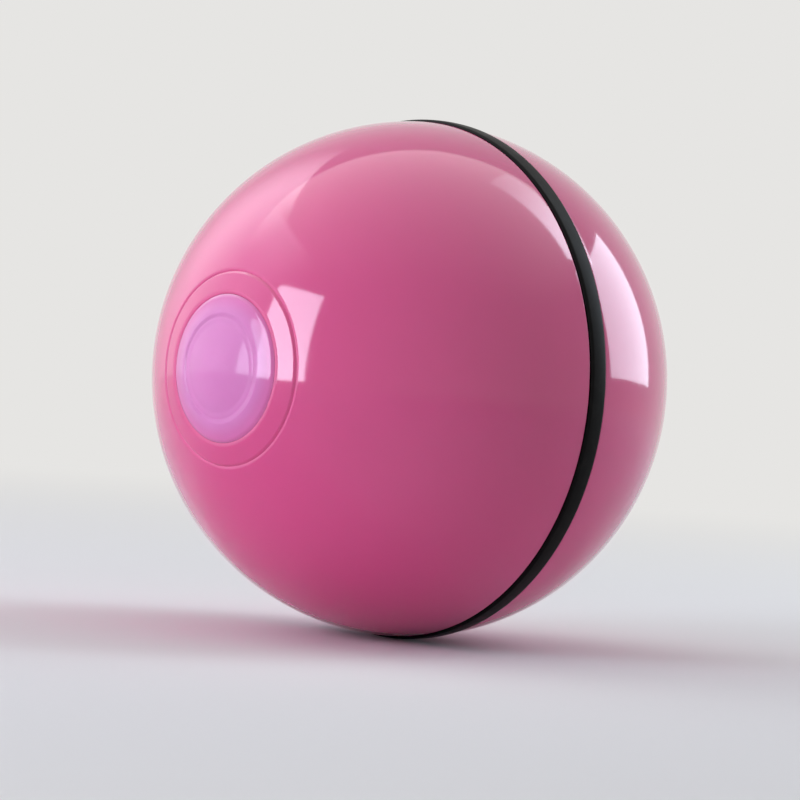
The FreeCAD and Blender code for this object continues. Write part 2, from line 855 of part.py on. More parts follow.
def cover_screws():
    seat = boss_end + pillar_floor
    return Part.makeCompound([screw(1, seat, cover_screw_length, spot) for spot in cover_boss_spots])


def motor_form(start, end, inset=0.0):
    """A round motor body with its top and bottom flattened."""
    width = motor_width - 2 * inset
    height = motor_height - 2 * inset
    return rod(start, end, width / 2, motor_spot).common(block(start, end, width, height, motor_spot))


def gear_plate():
    plate = rod(plate_start, plate_end, ring_height(plate_start, core_sphere_inside) - plate_edge_gap)
    room_width = motor_width + 2 * cradle_gap
    outside = room_width + 2 * cradle_wall
    top = motor_spot[1] + motor_height / 2 + cradle_gap + cradle_wall
    bottom = motor_spot[1] - motor_height / 2
    cradle = block(plate_end, cradle_end, outside, top - bottom, (motor_spot[0], (top + bottom) / 2))
    room = motor_form(plate_end, cradle_end, -cradle_gap)
    under_height = motor_height / 2 + cradle_gap
    under_middle = (motor_spot[0], motor_spot[1] - under_height / 2)
    under = block(plate_end, cradle_end, room_width, under_height, under_middle)
    clip_room = rod(plate_end, cradle_end, clip_radius + cradle_clip_gap)
    cradle = cut_all(cradle, [room, under, clip_room])
    first_boss = rod(first_wheel_end + gear_side_gap, plate_start, pin_boss_radius, first_spot)
    second_boss = rod(second_wheel_end + gear_side_gap, plate_start, plate_pin_boss_radius, second_spot)
    plate = fused(plate, [cradle, first_boss, second_boss])
    cuts = [rod(plate_start, plate_end, bush_hole)]
    cuts.append(rod(plate_start, plate_end, motor_nose_radius + fixed_gap, motor_spot))
    cuts += [rod(plate_start, plate_end, screw_radius + screw_hole_gap, spot) for spot in post_spots]
    cuts += [rod(plate_start, plate_end, cup_boss_radius + notch_gap, spot) for spot in cover_boss_spots]
    pins_end = plate_start + pin_plate_depth
    cuts += [rod(-cup_inner_face, pins_end, pin_radius, spot) for spot in (first_spot, second_spot)]
    return cut_all(plate, cuts)


def gear_plate_screws():
    return Part.makeCompound([screw(1, plate_end, plate_screw_length, spot) for spot in post_spots])


def motor_can():
    can = motor_form(plate_end, motor_can_end)
    nose = rod(plate_end - motor_nose_length, plate_end, motor_nose_radius, motor_spot)
    bore = rod(plate_start, motor_shaft_end + fixed_gap, motor_shaft_radius + running_gap, motor_spot)
    return can.fuse(nose).removeSplitter().cut(bore)


def motor_end_cap():
    return motor_form(motor_can_end, motor_end, motor_cap_inset)


def motor_tab_spots():
    return [(motor_spot[0] + side * motor_tab_spread / 2, motor_spot[1]) for side in (-1, 1)]


def motor_tabs():
    size = (motor_tab_thickness, motor_tab_size)
    return Part.makeCompound([block(motor_end, motor_tab_end, *size, spot) for spot in motor_tab_spots()])


def battery():
    middle = (0.0, (battery_top + battery_bottom) / 2)
    cell = block(battery_start, battery_end, battery_width, battery_height, middle)
    return cell.makeFillet(battery_round, edges_along(cell))


def battery_pad():
    middle = (0.0, weight_top + pad_thickness / 2)
    width = battery_width - 2 * pad_inset
    return block(battery_start + pad_inset, battery_end - pad_inset, width, pad_thickness, middle)


def counterweight():
    whole = rod(weight_start, weight_end, core_drum_inside - weight_gap)
    return whole.common(block(weight_start, weight_end, far, far, (0.0, weight_top - far / 2)))


def control_board():
    board = rod(board_start, board_face, board_radius)
    cuts = [rod(board_start, board_face, screw_radius + screw_hole_gap, spot) for spot in board_post_spots]
    cuts += [rod(board_start, board_face, pillar_radius + notch_gap, spot) for spot in cover_boss_spots]
    return cut_all(board, cuts)


def board_screws():
    return Part.makeCompound([screw(-1, board_start, board_screw_length, spot) for spot in board_post_spots])


def charging_socket():
    outer = slot_block(board_face, core_right_face, socket_width, socket_height, socket_spot)
    inner_width = socket_width - 2 * socket_wall
    inner_height = socket_height - 2 * socket_wall
    mouth = slot_block(board_face + socket_floor, core_right_face, inner_width, inner_height, socket_spot)
    return outer.cut(mouth)


def charging_tongue():
    start = board_face + socket_floor
    return block(start, start + tongue_length, tongue_width, tongue_thickness, socket_spot)


def tact_switch():
    top = board_face + switch_height
    body = block(board_face, top, switch_size, switch_size, switch_spot)
    body = body.makeFillet(switch_edge_round, edges_along(body))
    return body.cut(rod(top - plunger_depth - button_travel, top, plunger_radius + plunger_gap, switch_spot))


def button_flange_stations():
    top = cover_inner_face - button_flange_gap
    return top - button_flange_thickness, top


def switch_plunger():
    low, high = button_flange_stations()
    return rod(board_face + switch_height - plunger_depth + plunger_gap, low, plunger_radius, switch_spot)


def power_button():
    low, high = button_flange_stations()
    top = core_right_face + button_proud
    cap = rod(low, top, button_radius, switch_spot)
    cap = cap.makeFillet(button_edge_round, edges_across(cap, top))
    return cap.fuse(rod(low, high, button_radius + button_flange_width, switch_spot)).removeSplitter()


def motion_switch():
    top = board_face + motion_can_height
    can = rod(board_face, top, motion_can_radius, motion_can_spot)
    return can.makeFillet(motion_can_round, edges_across(can, top))


def control_chip():
    bottom = board_face + chip_leg_thickness
    body = block(bottom, board_face + chip_height, chip_length, chip_width, chip_spot)
    leg_top = bottom + chip_leg_thickness
    reach = chip_width + 2 * chip_leg_reach
    legs = []
    for index in range(chip_leg_count):
        y = chip_spot[0] + (index - (chip_leg_count - 1) / 2) * chip_leg_pitch
        legs.append(block(board_face, leg_top, chip_leg_width, reach, (y, chip_spot[1])))
    return fused(body, legs)


def small_components():
    top = board_face + component_height
    size = (component_length, component_width)
    spots = component_spots + edge_component_spots
    return Part.makeCompound([block(board_face, top, *size, spot) for spot in spots])


def lamps():
    top = board_face + lamp_height
    return Part.makeCompound([block(board_face, top, lamp_size, lamp_size, spot) for spot in lamp_spots])


def lamp_lenses():
    start = board_face + lamp_height + lens_lamp_gap
    flange_start = cover_inner_face - lens_flange_thickness
    lenses = []
    for spot in lamp_spots:
        pipe = rod(start, core_right_face + lens_proud, lens_radius, spot)
        flange = rod(flange_start, cover_inner_face, lens_radius + lens_flange_width, spot)
        lenses.append(pipe.fuse(flange).removeSplitter())
    return Part.makeCompound(lenses)


def lead(points):
    """A round lead along straight runs, joined by arcs as large as the two runs allow."""
    edges = []
    radii = []
    last = points[0]
    for before, corner, after in zip(points, points[1:], points[2:]):
        back = (before - corner).normalize()
        on = (after - corner).normalize()
        half_turn = (math.pi - back.getAngle(on)) / 2
        setback = lead_corner_share * min((before - corner).Length, (after - corner).Length)
        radius = setback / math.tan(half_turn)
        radii.append(radius)
        start = corner + back * setback
        end = corner + on * setback
        inward = (back + on).normalize()
        to_middle = radius / math.cos(half_turn) - radius
        edges.append(Part.LineSegment(last, start).toShape())
        edges.append(Part.Arc(start, corner + inward * to_middle, end).toShape())
        last = end
    edges.append(Part.LineSegment(last, points[-1]).toShape())
    path = Part.Wire(edges)
    direction = (points[1] - points[0]).normalize()
    section = Part.Wire(Part.makeCircle(lead_radius, points[0], direction))
    tube = path.makePipeShell([section], True, False)
    share = tube.Volume / (math.pi * lead_radius**2 * path.Length)
    print("lead radii", [round(radius, 2) for radius in radii], "volume share", round(share, 4))
    return tube


def lead_points(start, side, route, pad, lift):
    """A lead's points from start, outwards to one side, to its pad on the board's left face. lift raises
    each point by its share of the way up, so that a pair of leads spreads out."""
    points = []
    for along, out, up in route:
        points.append(start + Vector(along, side * out, up + lift * up / pad[1]))
    out, up = pad
    y = start.y + side * out
    z = start.z + up + lift
    return points + [Vector(board_start - lead_board_run, y, z), Vector(board_start, y, z)]


def motor_leads():
    """One lead from each motor tab, out past the cradle and back to the board's left face."""
    leads = []
    x = (motor_end + motor_tab_end) / 2
    for side, spot in zip((-1, 1), motor_tab_spots()):
        start = Vector(x, spot[0] + side * motor_tab_thickness / 2, spot[1])
        leads.append(lead(lead_points(start, side, motor_lead_route, motor_lead_pad, 0.0)))
    return Part.makeCompound(leads)


def battery_leads():
    """Two leads from the battery's side, up along the core's wall to the board's left face."""
    leads = []
    z = (battery_top + battery_bottom) / 2
    for offset in (0.0, battery_lead_pitch):
        start = Vector(battery_end - battery_lead_inset - offset, battery_width / 2, z)
        leads.append(lead(lead_points(start, 1, battery_lead_route, battery_lead_pad, offset)))
    return Part.makeCompound(leads)


nodes = {
    "left_shell": left_shell,
    "left_pole_cap": left_pole_cap,
    "left_hub": left_hub,
    "left_hub_screws": left_hub_screws,
    "output_shaft": output_shaft,
    "output_gear": output_gear,
    "shaft_clip": shaft_clip,
    "thrust_washer": thrust_washer,
    "seam_ring": seam_ring,
    "right_shell": right_shell,
    "right_pole_cap": lambda: mirrored(left_pole_cap()),
    "right_hub": right_hub,
    "right_hub_screws": lambda: mirrored(left_hub_screws()),
    "right_bush": right_bush,
    "core_cup": core_cup,
    "core_cover": core_cover,
    "cover_screws": cover_screws,
    "cup_bush": cup_bush,
    "plate_bush": plate_bush,
    "gear_plate": gear_plate,
    "gear_plate_screws": gear_plate_screws,
    "gear_pins": gear_pins,
    "stub_axle": stub_axle,
    "motor_can": motor_can,
    "motor_end_cap": motor_end_cap,
    "motor_tabs": motor_tabs,
    "motor_leads": motor_leads,
    "motor_shaft": motor_shaft,
    "motor_pinion": motor_pinion,
    "first_gear": first_gear,
    "second_gear": second_gear,
    "battery": battery,
    "battery_pad": battery_pad,
    "battery_leads": battery_leads,
    "counterweight": counterweight,
    "control_board": control_board,
    "board_screws": board_screws,
    "charging_socket": charging_socket,
    "charging_tongue": charging_tongue,
    "tact_switch": tact_switch,
    "switch_plunger": switch_plunger,
    "power_button": power_button,
    "motion_switch": motion_switch,
    "control_chip": control_chip,
    "small_components": small_components,
    "lamps": lamps,
    "lamp_lenses": lamp_lenses,
}

os.makedirs("parts", exist_ok=True)
for name, make in nodes.items():
    make().exportStep(os.path.join("parts", name + ".step"))
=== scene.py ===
import json
import math

import bmesh
import bpy
import numpy as np
from bpy.props import FloatProperty, FloatVectorProperty, PointerProperty
from mathutils import Matrix, Quaternion, Vector

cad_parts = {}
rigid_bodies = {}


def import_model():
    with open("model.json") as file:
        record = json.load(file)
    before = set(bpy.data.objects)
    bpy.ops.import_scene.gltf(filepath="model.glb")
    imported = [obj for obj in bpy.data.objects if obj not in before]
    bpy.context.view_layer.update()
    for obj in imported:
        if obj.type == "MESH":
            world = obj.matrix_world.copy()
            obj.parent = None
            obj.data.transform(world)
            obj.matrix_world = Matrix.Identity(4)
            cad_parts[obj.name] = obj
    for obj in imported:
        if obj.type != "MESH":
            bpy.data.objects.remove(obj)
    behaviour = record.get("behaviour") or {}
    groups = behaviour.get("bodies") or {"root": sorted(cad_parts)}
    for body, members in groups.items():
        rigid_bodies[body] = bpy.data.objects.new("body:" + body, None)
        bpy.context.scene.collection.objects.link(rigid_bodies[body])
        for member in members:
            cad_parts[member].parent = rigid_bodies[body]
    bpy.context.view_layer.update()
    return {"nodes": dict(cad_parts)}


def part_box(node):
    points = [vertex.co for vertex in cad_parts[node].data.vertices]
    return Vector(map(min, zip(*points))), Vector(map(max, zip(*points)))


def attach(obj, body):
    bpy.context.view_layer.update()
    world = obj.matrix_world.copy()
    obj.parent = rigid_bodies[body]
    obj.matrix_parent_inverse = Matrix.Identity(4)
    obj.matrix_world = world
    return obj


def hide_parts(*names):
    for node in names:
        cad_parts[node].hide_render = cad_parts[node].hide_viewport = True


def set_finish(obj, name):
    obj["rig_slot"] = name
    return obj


bl_info = {
    "name": "Self-rolling pet ball",
    "version": (1, 0, 0),
    "blender": (4, 5, 0),
    "location": "3D View > Sidebar > Pet Ball",
    "description": "Builds the shells, caps and seam ring of a pet ball and finishes all its pieces",
    "category": "Add Mesh",
}

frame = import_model()

MM = 0.001

# Places that the frame gives. X is the ball's axle, and the left half is at -X.
BALL_RADIUS = -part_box("left_pole_cap")[0].x
CAP_BACK = -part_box("left_pole_cap")[1].x
SEAM_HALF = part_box("seam_ring")[1].x
SEAM_TOP = min(abs(corner[axis]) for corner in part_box("seam_ring") for axis in (1, 2))
COLLAR_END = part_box("left_shell")[1].x
FLOOR_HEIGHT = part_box("seam_ring")[0].z

# Sizes of the shells, caps and ring that the frame's boxes don't give
POCKET_DEPTH = 2.4 * MM
WEB_THICKNESS = 1.8 * MM
POCKET_FLOOR = BALL_RADIUS - POCKET_DEPTH
WEB_FACE = POCKET_FLOOR - WEB_THICKNESS
WEB_RADIUS = 10.4 * MM
SPIGOT_RADIUS = 2.7 * MM
SCREW_CIRCLE = 5.6 * MM
SCREW_ANGLES = (90.0, 210.0, 330.0)
SCREW_HOLE_RADIUS = 1.07 * MM
HEAD_RECESS_RADIUS = 1.92 * MM
HEAD_RECESS_DEPTH = 1.12 * MM
COLLAR_DROP = 2.7 * MM
COLLAR_WALL = 1.4 * MM
BORE_DROP = 1.8 * MM
BORE_PAST_COLLAR = 0.3 * MM
RING_DROP = 2.65 * MM
RING_CROWN = 0.04 * MM
RING_SIDE_BAND = 0.2 * MM
SEAM_GAP = 0.05 * MM
CAP_GAP = 0.03 * MM
DISC_RISE = 0.8 * MM
EDGE_ROUND = 0.15 * MM
RIDGE_WIDTH = 1.215 * MM
RIDGE_HEIGHT = 0.7 * MM
RIDGE_EMBED = 0.1 * MM
RIDGE_RIM_GAP = 0.1 * MM
RIDGE_HALF_ANGLE = math.radians(15.0)
RIDGE_FADE_ANGLE = math.radians(3.0)
RIDGE_END_SHARE = 0.05
RIDGE_STARTS = 4
THREAD_LEAD = 30.0 * MM

# How finely the surfaces are divided: points round the axle, and rows or points along an outline
SHELL_SEGMENTS = 288
CAP_SEGMENTS = 192
FLOOR_SEGMENTS = 96
CAP_ROWS = 110
ROWS_TO_GROOVE = 72
ROWS_OUT_OF_GROOVE = 24
ROWS_TO_RIM = 70
INSIDE_ROWS = 48
RIM_POINTS = 14
EDGE_POINTS = 6
RING_EDGE_POINTS = 10
TREAD_POINTS = 17
RIDGE_STEPS = 41
WEB_SIDE_POINTS = 10
# The turn, in radians, over which the rows stay close past the ring groove
GROOVE_FINE_TURN = 0.03
# The turn from the pole to a cap's first row, and the radius of its last one, which fans close
CAP_FIRST_TURN = 0.004
CAP_FAN_RADIUS = 0.3 * MM
MERGE_DISTANCE = 0.001 * MM
CREASE_ANGLE = math.radians(35.0)


def linear(code):
    """An sRGB hex colour as linear values."""
    values = [int(code[i:i + 2], 16) / 255 for i in (0, 2, 4)]
    return tuple(v / 12.92 if v <= 0.04045 else ((v + 0.055) / 1.055) ** 2.4 for v in values)


class PetBallSizes(bpy.types.PropertyGroup):
    wall: FloatProperty(
        name="Shell wall", description="Thickness of the two half shells",
        default=2.0 * MM, min=1.0 * MM, max=4.0 * MM, unit="LENGTH")
    groove_radius: FloatProperty(
        name="Ring groove", description="Radius of the groove round each pole cap",
        default=11.7 * MM, min=9.8 * MM, max=20.0 * MM, unit="LENGTH")
    groove_depth: FloatProperty(
        name="Groove depth", description="Depth of the ring groove and of the dip at the cap's edge",
        default=0.16 * MM, min=0.0, max=0.5 * MM, unit="LENGTH")
    groove_reach: FloatProperty(
        name="Groove reach", description="Half the width of the ring groove, from its floor to its edge",
        default=0.42 * MM, min=0.2 * MM, max=0.9 * MM, unit="LENGTH")
    cap_edge_reach: FloatProperty(
        name="Cap edge reach", description="Half the width of the dip where a cap meets its shell",
        default=0.6 * MM, min=0.2 * MM, max=0.9 * MM, unit="LENGTH")
    cap_radius: FloatProperty(
        name="Cap radius", description="Radius of the gap between a pole cap and its shell",
        default=8.9 * MM, min=7.0 * MM, max=9.5 * MM, unit="LENGTH")
    disc_radius: FloatProperty(
        name="Disc radius", description="Radius of the faint step inside a pole cap",
        default=6.0 * MM, min=3.0 * MM, max=7.5 * MM, unit="LENGTH")
    disc_drop: FloatProperty(
        name="Disc drop", description="How far the inner disc falls away towards its edge",
        default=0.09 * MM, min=0.0, max=0.3 * MM, unit="LENGTH")
    left_rim_round: FloatProperty(
        name="Left rim round", description="Radius of the left shell's rim beside the seam",
        default=0.25 * MM, min=0.05 * MM, max=1.0 * MM, unit="LENGTH")
    right_rim_round: FloatProperty(
        name="Right rim round", description="Radius of the right shell's rim beside the seam",
        default=0.15 * MM, min=0.05 * MM, max=1.0 * MM, unit="LENGTH")
    seam_edge_round: FloatProperty(
        name="Seam ring round", description="Radius of the rubber ring's outer edges",
        default=0.4 * MM, min=0.05 * MM, max=0.8 * MM, unit="LENGTH")


class PetBallColours(bpy.types.PropertyGroup):
    shell: FloatVectorProperty(
        name="Shell", description="Colour of the glossy half shells",
        default=linear("D84785"), size=3, min=0.0, max=1.0, subtype="COLOR")
    cap: FloatVectorProperty(
        name="Pole cap", description="Colour of the caps at the two poles",
        default=linear("D67CB9"), size=3, min=0.0, max=1.0, subtype="COLOR")
    seam: FloatVectorProperty(
        name="Seam ring", description="Colour of the rubber ring between the halves",
        default=linear("0B0A0A"), size=3, min=0.0, max=1.0, subtype="COLOR")
    housing: FloatVectorProperty(
        name="Core housing", description="Colour of the drive's housing inside the ball",
        default=linear("E8E7E4"), size=3, min=0.0, max=1.0, subtype="COLOR")
    floor: FloatVectorProperty(
        name="Floor", description="Colour of the studio floor and background",
        default=linear("E6E5E3"), size=3, min=0.0, max=1.0, subtype="COLOR")


# Surfaces worked out as arrays

def grid_faces(rows, columns, first=0, close_rows=False):
    """Quads between neighbouring rows of a grid whose columns close on themselves, as indices from first."""
    steps = rows if close_rows else rows - 1
    i, j = np.meshgrid(np.arange(steps), np.arange(columns), indexing="ij")
    down, on = (i + 1) % rows, (j + 1) % columns
    corners = (i * columns + j, i * columns + on, down * columns + on, down * columns + j)
    return (first + np.stack(corners, axis=-1)).reshape(-1, 4)


def turned_surface(outline, segments, closed):
    """A surface of revolution about X. A point (x, r) of the outline goes to (x, r cos u, r sin u) for
    each angle u of a full turn. A closed outline joins its last point to its first."""
    u = np.linspace(0.0, 2.0 * np.pi, segments, endpoint=False)
    x = np.repeat(outline[:, :1], segments, axis=1)
    y = outline[:, 1:] * np.cos(u)
    z = outline[:, 1:] * np.sin(u)
    points = np.stack((x, y, z), axis=-1).reshape(-1, 3)
    return points, grid_faces(len(outline), segments, close_rows=closed).tolist()


def arc(centre, radius, start, end, count):
    """Points on a circle of the (x, r) plane: centre + radius (cos a, sin a) as a goes from start to end."""
    a = np.linspace(start, end, count)
    return np.stack((centre[0] + radius * np.cos(a), centre[1] + radius * np.sin(a)), axis=-1)


def cosine_dip(distance, reach, depth):
    """A trough that is depth deep at 0 and flush at +-reach, along half a wave of a cosine."""
    share = np.clip(distance / reach, -1.0, 1.0)
    return depth * (1.0 + np.cos(np.pi * share)) / 2.0


def sharp_dip(distance, reach, depth):
    """A trough that is depth deep at 0 and flush at +-reach. Each side is a quarter wave of a sine, which
    rolls in smoothly at the edge and is steepest at the floor."""
    share = np.clip(np.abs(distance) / reach, 0.0, 1.0)
    return depth * (1.0 - np.sin(np.pi / 2.0 * share))


def ball_surface(turn, sizes):
    """The outside of the left half as (x, r), for an angle from the left pole. The distance from the
    centre is the ball's radius less a sharp dip at the ring groove and one at the cap's gap, and less a
    slow fall over the inner disc that ends in a short rise."""
    along = BALL_RADIUS * turn
    groove = BALL_RADIUS * math.asin(sizes.groove_radius / BALL_RADIUS)
    gap = BALL_RADIUS * math.asin(sizes.cap_radius / BALL_RADIUS)
    disc = BALL_RADIUS * math.asin(sizes.disc_radius / BALL_RADIUS)
    lowest = disc - DISC_RISE
    fall = np.where(
        along < lowest,
        cosine_dip(along - lowest, lowest, sizes.disc_drop),
        cosine_dip(along - lowest, DISC_RISE, sizes.disc_drop))
    dips = sharp_dip(along - groove, sizes.groove_reach, sizes.groove_depth)
    dips = dips + sharp_dip(along - gap, sizes.cap_edge_reach, sizes.groove_depth) + fall
    distance = BALL_RADIUS - dips
    return np.stack((-distance * np.cos(turn), distance * np.sin(turn)), axis=-1)


def rim_round(half_width, radius):
    """The rounded rim beside the seam, and the angle from the pole at which it starts. It is an arc that
    touches the ball's outside and the plane x = -half_width from within, so its centre is a radius
    inside both."""
    x = -half_width - radius
    height = math.sqrt((BALL_RADIUS - radius) ** 2 - x ** 2)
    start = math.atan2(height, x)
    return arc((x, height), radius, start, 0.0, RIM_POINTS), math.pi - start


def joined(*runs):
    """Runs of points as one outline."""
    return np.concatenate([np.asarray(run, dtype=float).reshape(-1, 2) for run in runs])


def helical_ridges(x, inner, outer):
    """The short ridges of the twist lock, which stand from the radius inner to the radius outer. Each is a
    straight bar that leans with the thread: at the angle u along it, its middle is at
    x + lead / (2 pi) sin u. Its height fades into the wall over the last three degrees, as the square
    root of the distance from its end."""
    u = np.linspace(-RIDGE_HALF_ANGLE, RIDGE_HALF_ANGLE, RIDGE_STEPS)
    from_end = np.clip((RIDGE_HALF_ANGLE - np.abs(u)) / RIDGE_FADE_ANGLE, 0.0, 1.0)
    fade = np.maximum(np.sqrt(from_end), RIDGE_END_SHARE)
    # The section has rounded shoulders: places across it, and its height there, as shares of the whole
    side = np.array([-0.5, -0.48, -0.40, -0.28, 0.28, 0.40, 0.48, 0.5])
    share = np.array([0.0, 0.62, 0.90, 1.0, 1.0, 0.90, 0.62, 0.0])
    reach = inner + (outer - inner) * fade[:, None] * share[None, :]
    along = x + THREAD_LEAD / (2.0 * np.pi) * np.sin(u)[:, None] + RIDGE_WIDTH * side[None, :]
    turn = u[None, :, None] + (2.0 * np.pi / RIDGE_STARTS) * np.arange(RIDGE_STARTS)[:, None, None]
    turn, reach, along = np.broadcast_arrays(turn, reach, along)
    points = np.stack((along, reach * np.cos(turn), reach * np.sin(turn)), axis=-1).reshape(-1, 3)
    faces, size = [], len(u) * len(side)
    for start in range(0, RIDGE_STARTS * size, size):
        faces += grid_faces(len(u), len(side), start).tolist()
        last = start + size - 1
        faces.append(list(range(start, start + len(side))))
        faces.append(list(range(last, last - len(side), -1)))
    return points, faces


def screwed_web(pocket_radius, segments):
    """The flat web round the axle, from the pocket's floor to its inner face, with a stepped screw hole in
    each third. A third is a grid whose columns run round its hole, and whose rows are the third's outline
    on the pocket's floor, the head's recess, the shank's hole and the outline on the inner face. A point
    on the hole lies towards its column's point on the outline, as seen from the hole's middle."""
    half = math.pi / len(SCREW_ANGLES)
    turn = np.linspace(-half, half, segments // len(SCREW_ANGLES) + 1)
    middle = np.array((SCREW_CIRCLE, 0.0))

    def outline(radius):
        side = np.linspace(radius, SPIGOT_RADIUS, WEB_SIDE_POINTS)[1:-1]
        outer, inner = np.full(len(turn), radius), np.full(len(turn), SPIGOT_RADIUS)
        reach = np.concatenate((outer, side, inner, side[::-1]))
        angle = np.concatenate((turn, np.full(len(side), half), turn[::-1], np.full(len(side), -half)))
        return np.stack((reach * np.cos(angle), reach * np.sin(angle)), axis=-1)

    def hole(radius, around):
        towards = around - middle
        return middle + radius * towards / np.linalg.norm(towards, axis=1, keepdims=True)

    floor, face = outline(pocket_radius), outline(WEB_RADIUS)
    recess = -POCKET_FLOOR + HEAD_RECESS_DEPTH
    rows = (
        (-POCKET_FLOOR, floor), (-POCKET_FLOOR, hole(HEAD_RECESS_RADIUS, floor)),
        (recess, hole(HEAD_RECESS_RADIUS, floor)), (recess, hole(SCREW_HOLE_RADIUS, floor)),
        (-WEB_FACE, hole(SCREW_HOLE_RADIUS, face)), (-WEB_FACE, face))
    x = np.concatenate([np.full(len(row), at) for at, row in rows])
    flat = np.concatenate([row for _, row in rows])
    points, faces = [], []
    for index, degrees in enumerate(SCREW_ANGLES):
        cos, sin = math.cos(math.radians(degrees)), math.sin(math.radians(degrees))
        y, z = flat[:, 0] * cos - flat[:, 1] * sin, flat[:, 0] * sin + flat[:, 1] * cos
        points.append(np.stack((x, y, z), axis=-1))
        faces += grid_faces(len(rows), len(floor), index * len(x)).tolist()
    return np.concatenate(points), faces


def fanned(points, faces, segments, first_x, last_x):
    """A turned surface with its first and its last row closed by a fan of triangles, each to a point on
    the axle, at first_x and at last_x."""
    turn = np.arange(segments)
    on = (turn + 1) % segments
    last_row = len(points) - segments
    first_pole, last_pole = len(points), len(points) + 1
    points = np.concatenate((points, [(first_x, 0.0, 0.0), (last_x, 0.0, 0.0)]))
    first_fan = np.stack((np.full(segments, first_pole), on, turn), axis=-1)
    last_fan = np.stack((np.full(segments, last_pole), last_row + turn, last_row + on), axis=-1)
    return points, faces + first_fan.tolist() + last_fan.tolist()


def make_piece(name, parts, body, slot, stands_for):
    """One object from (points, faces) parts, smooth but for edges sharper than the crease angle."""
    points, faces, first = [], [], 0
    for part_points, part_faces in parts:
        points.append(part_points)
        faces += [[first + index for index in face] for face in part_faces]
        first += len(part_points)
    mesh = bpy.data.meshes.new(name)
    mesh.from_pydata(np.concatenate(points).tolist(), [], faces)
    mesh.validate()
    close_and_turn_outwards(mesh)
    mesh.polygons.foreach_set("use_smooth", np.ones(len(mesh.polygons), dtype=bool))
    mesh.set_sharp_from_angle(angle=CREASE_ANGLE)
    piece = bpy.data.objects.new(name, mesh)
    bpy.context.scene.collection.objects.link(piece)
    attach(piece, body)
    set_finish(piece, slot)
    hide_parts(stands_for)
    return piece


def close_and_turn_outwards(mesh):
    """Merges the points of adjoining parts, and makes every closed part's faces point out of it."""
    work = bmesh.new()
    work.from_mesh(mesh)
    bmesh.ops.remove_doubles(work, verts=work.verts, dist=MERGE_DISTANCE)
    bmesh.ops.recalc_face_normals(work, faces=work.faces)
    work.to_mesh(mesh)
    work.free()


def mirrored(part):
    """A left-side part on the right side."""
    points, faces = part
    return points * np.array((-1.0, 1.0, 1.0)), faces


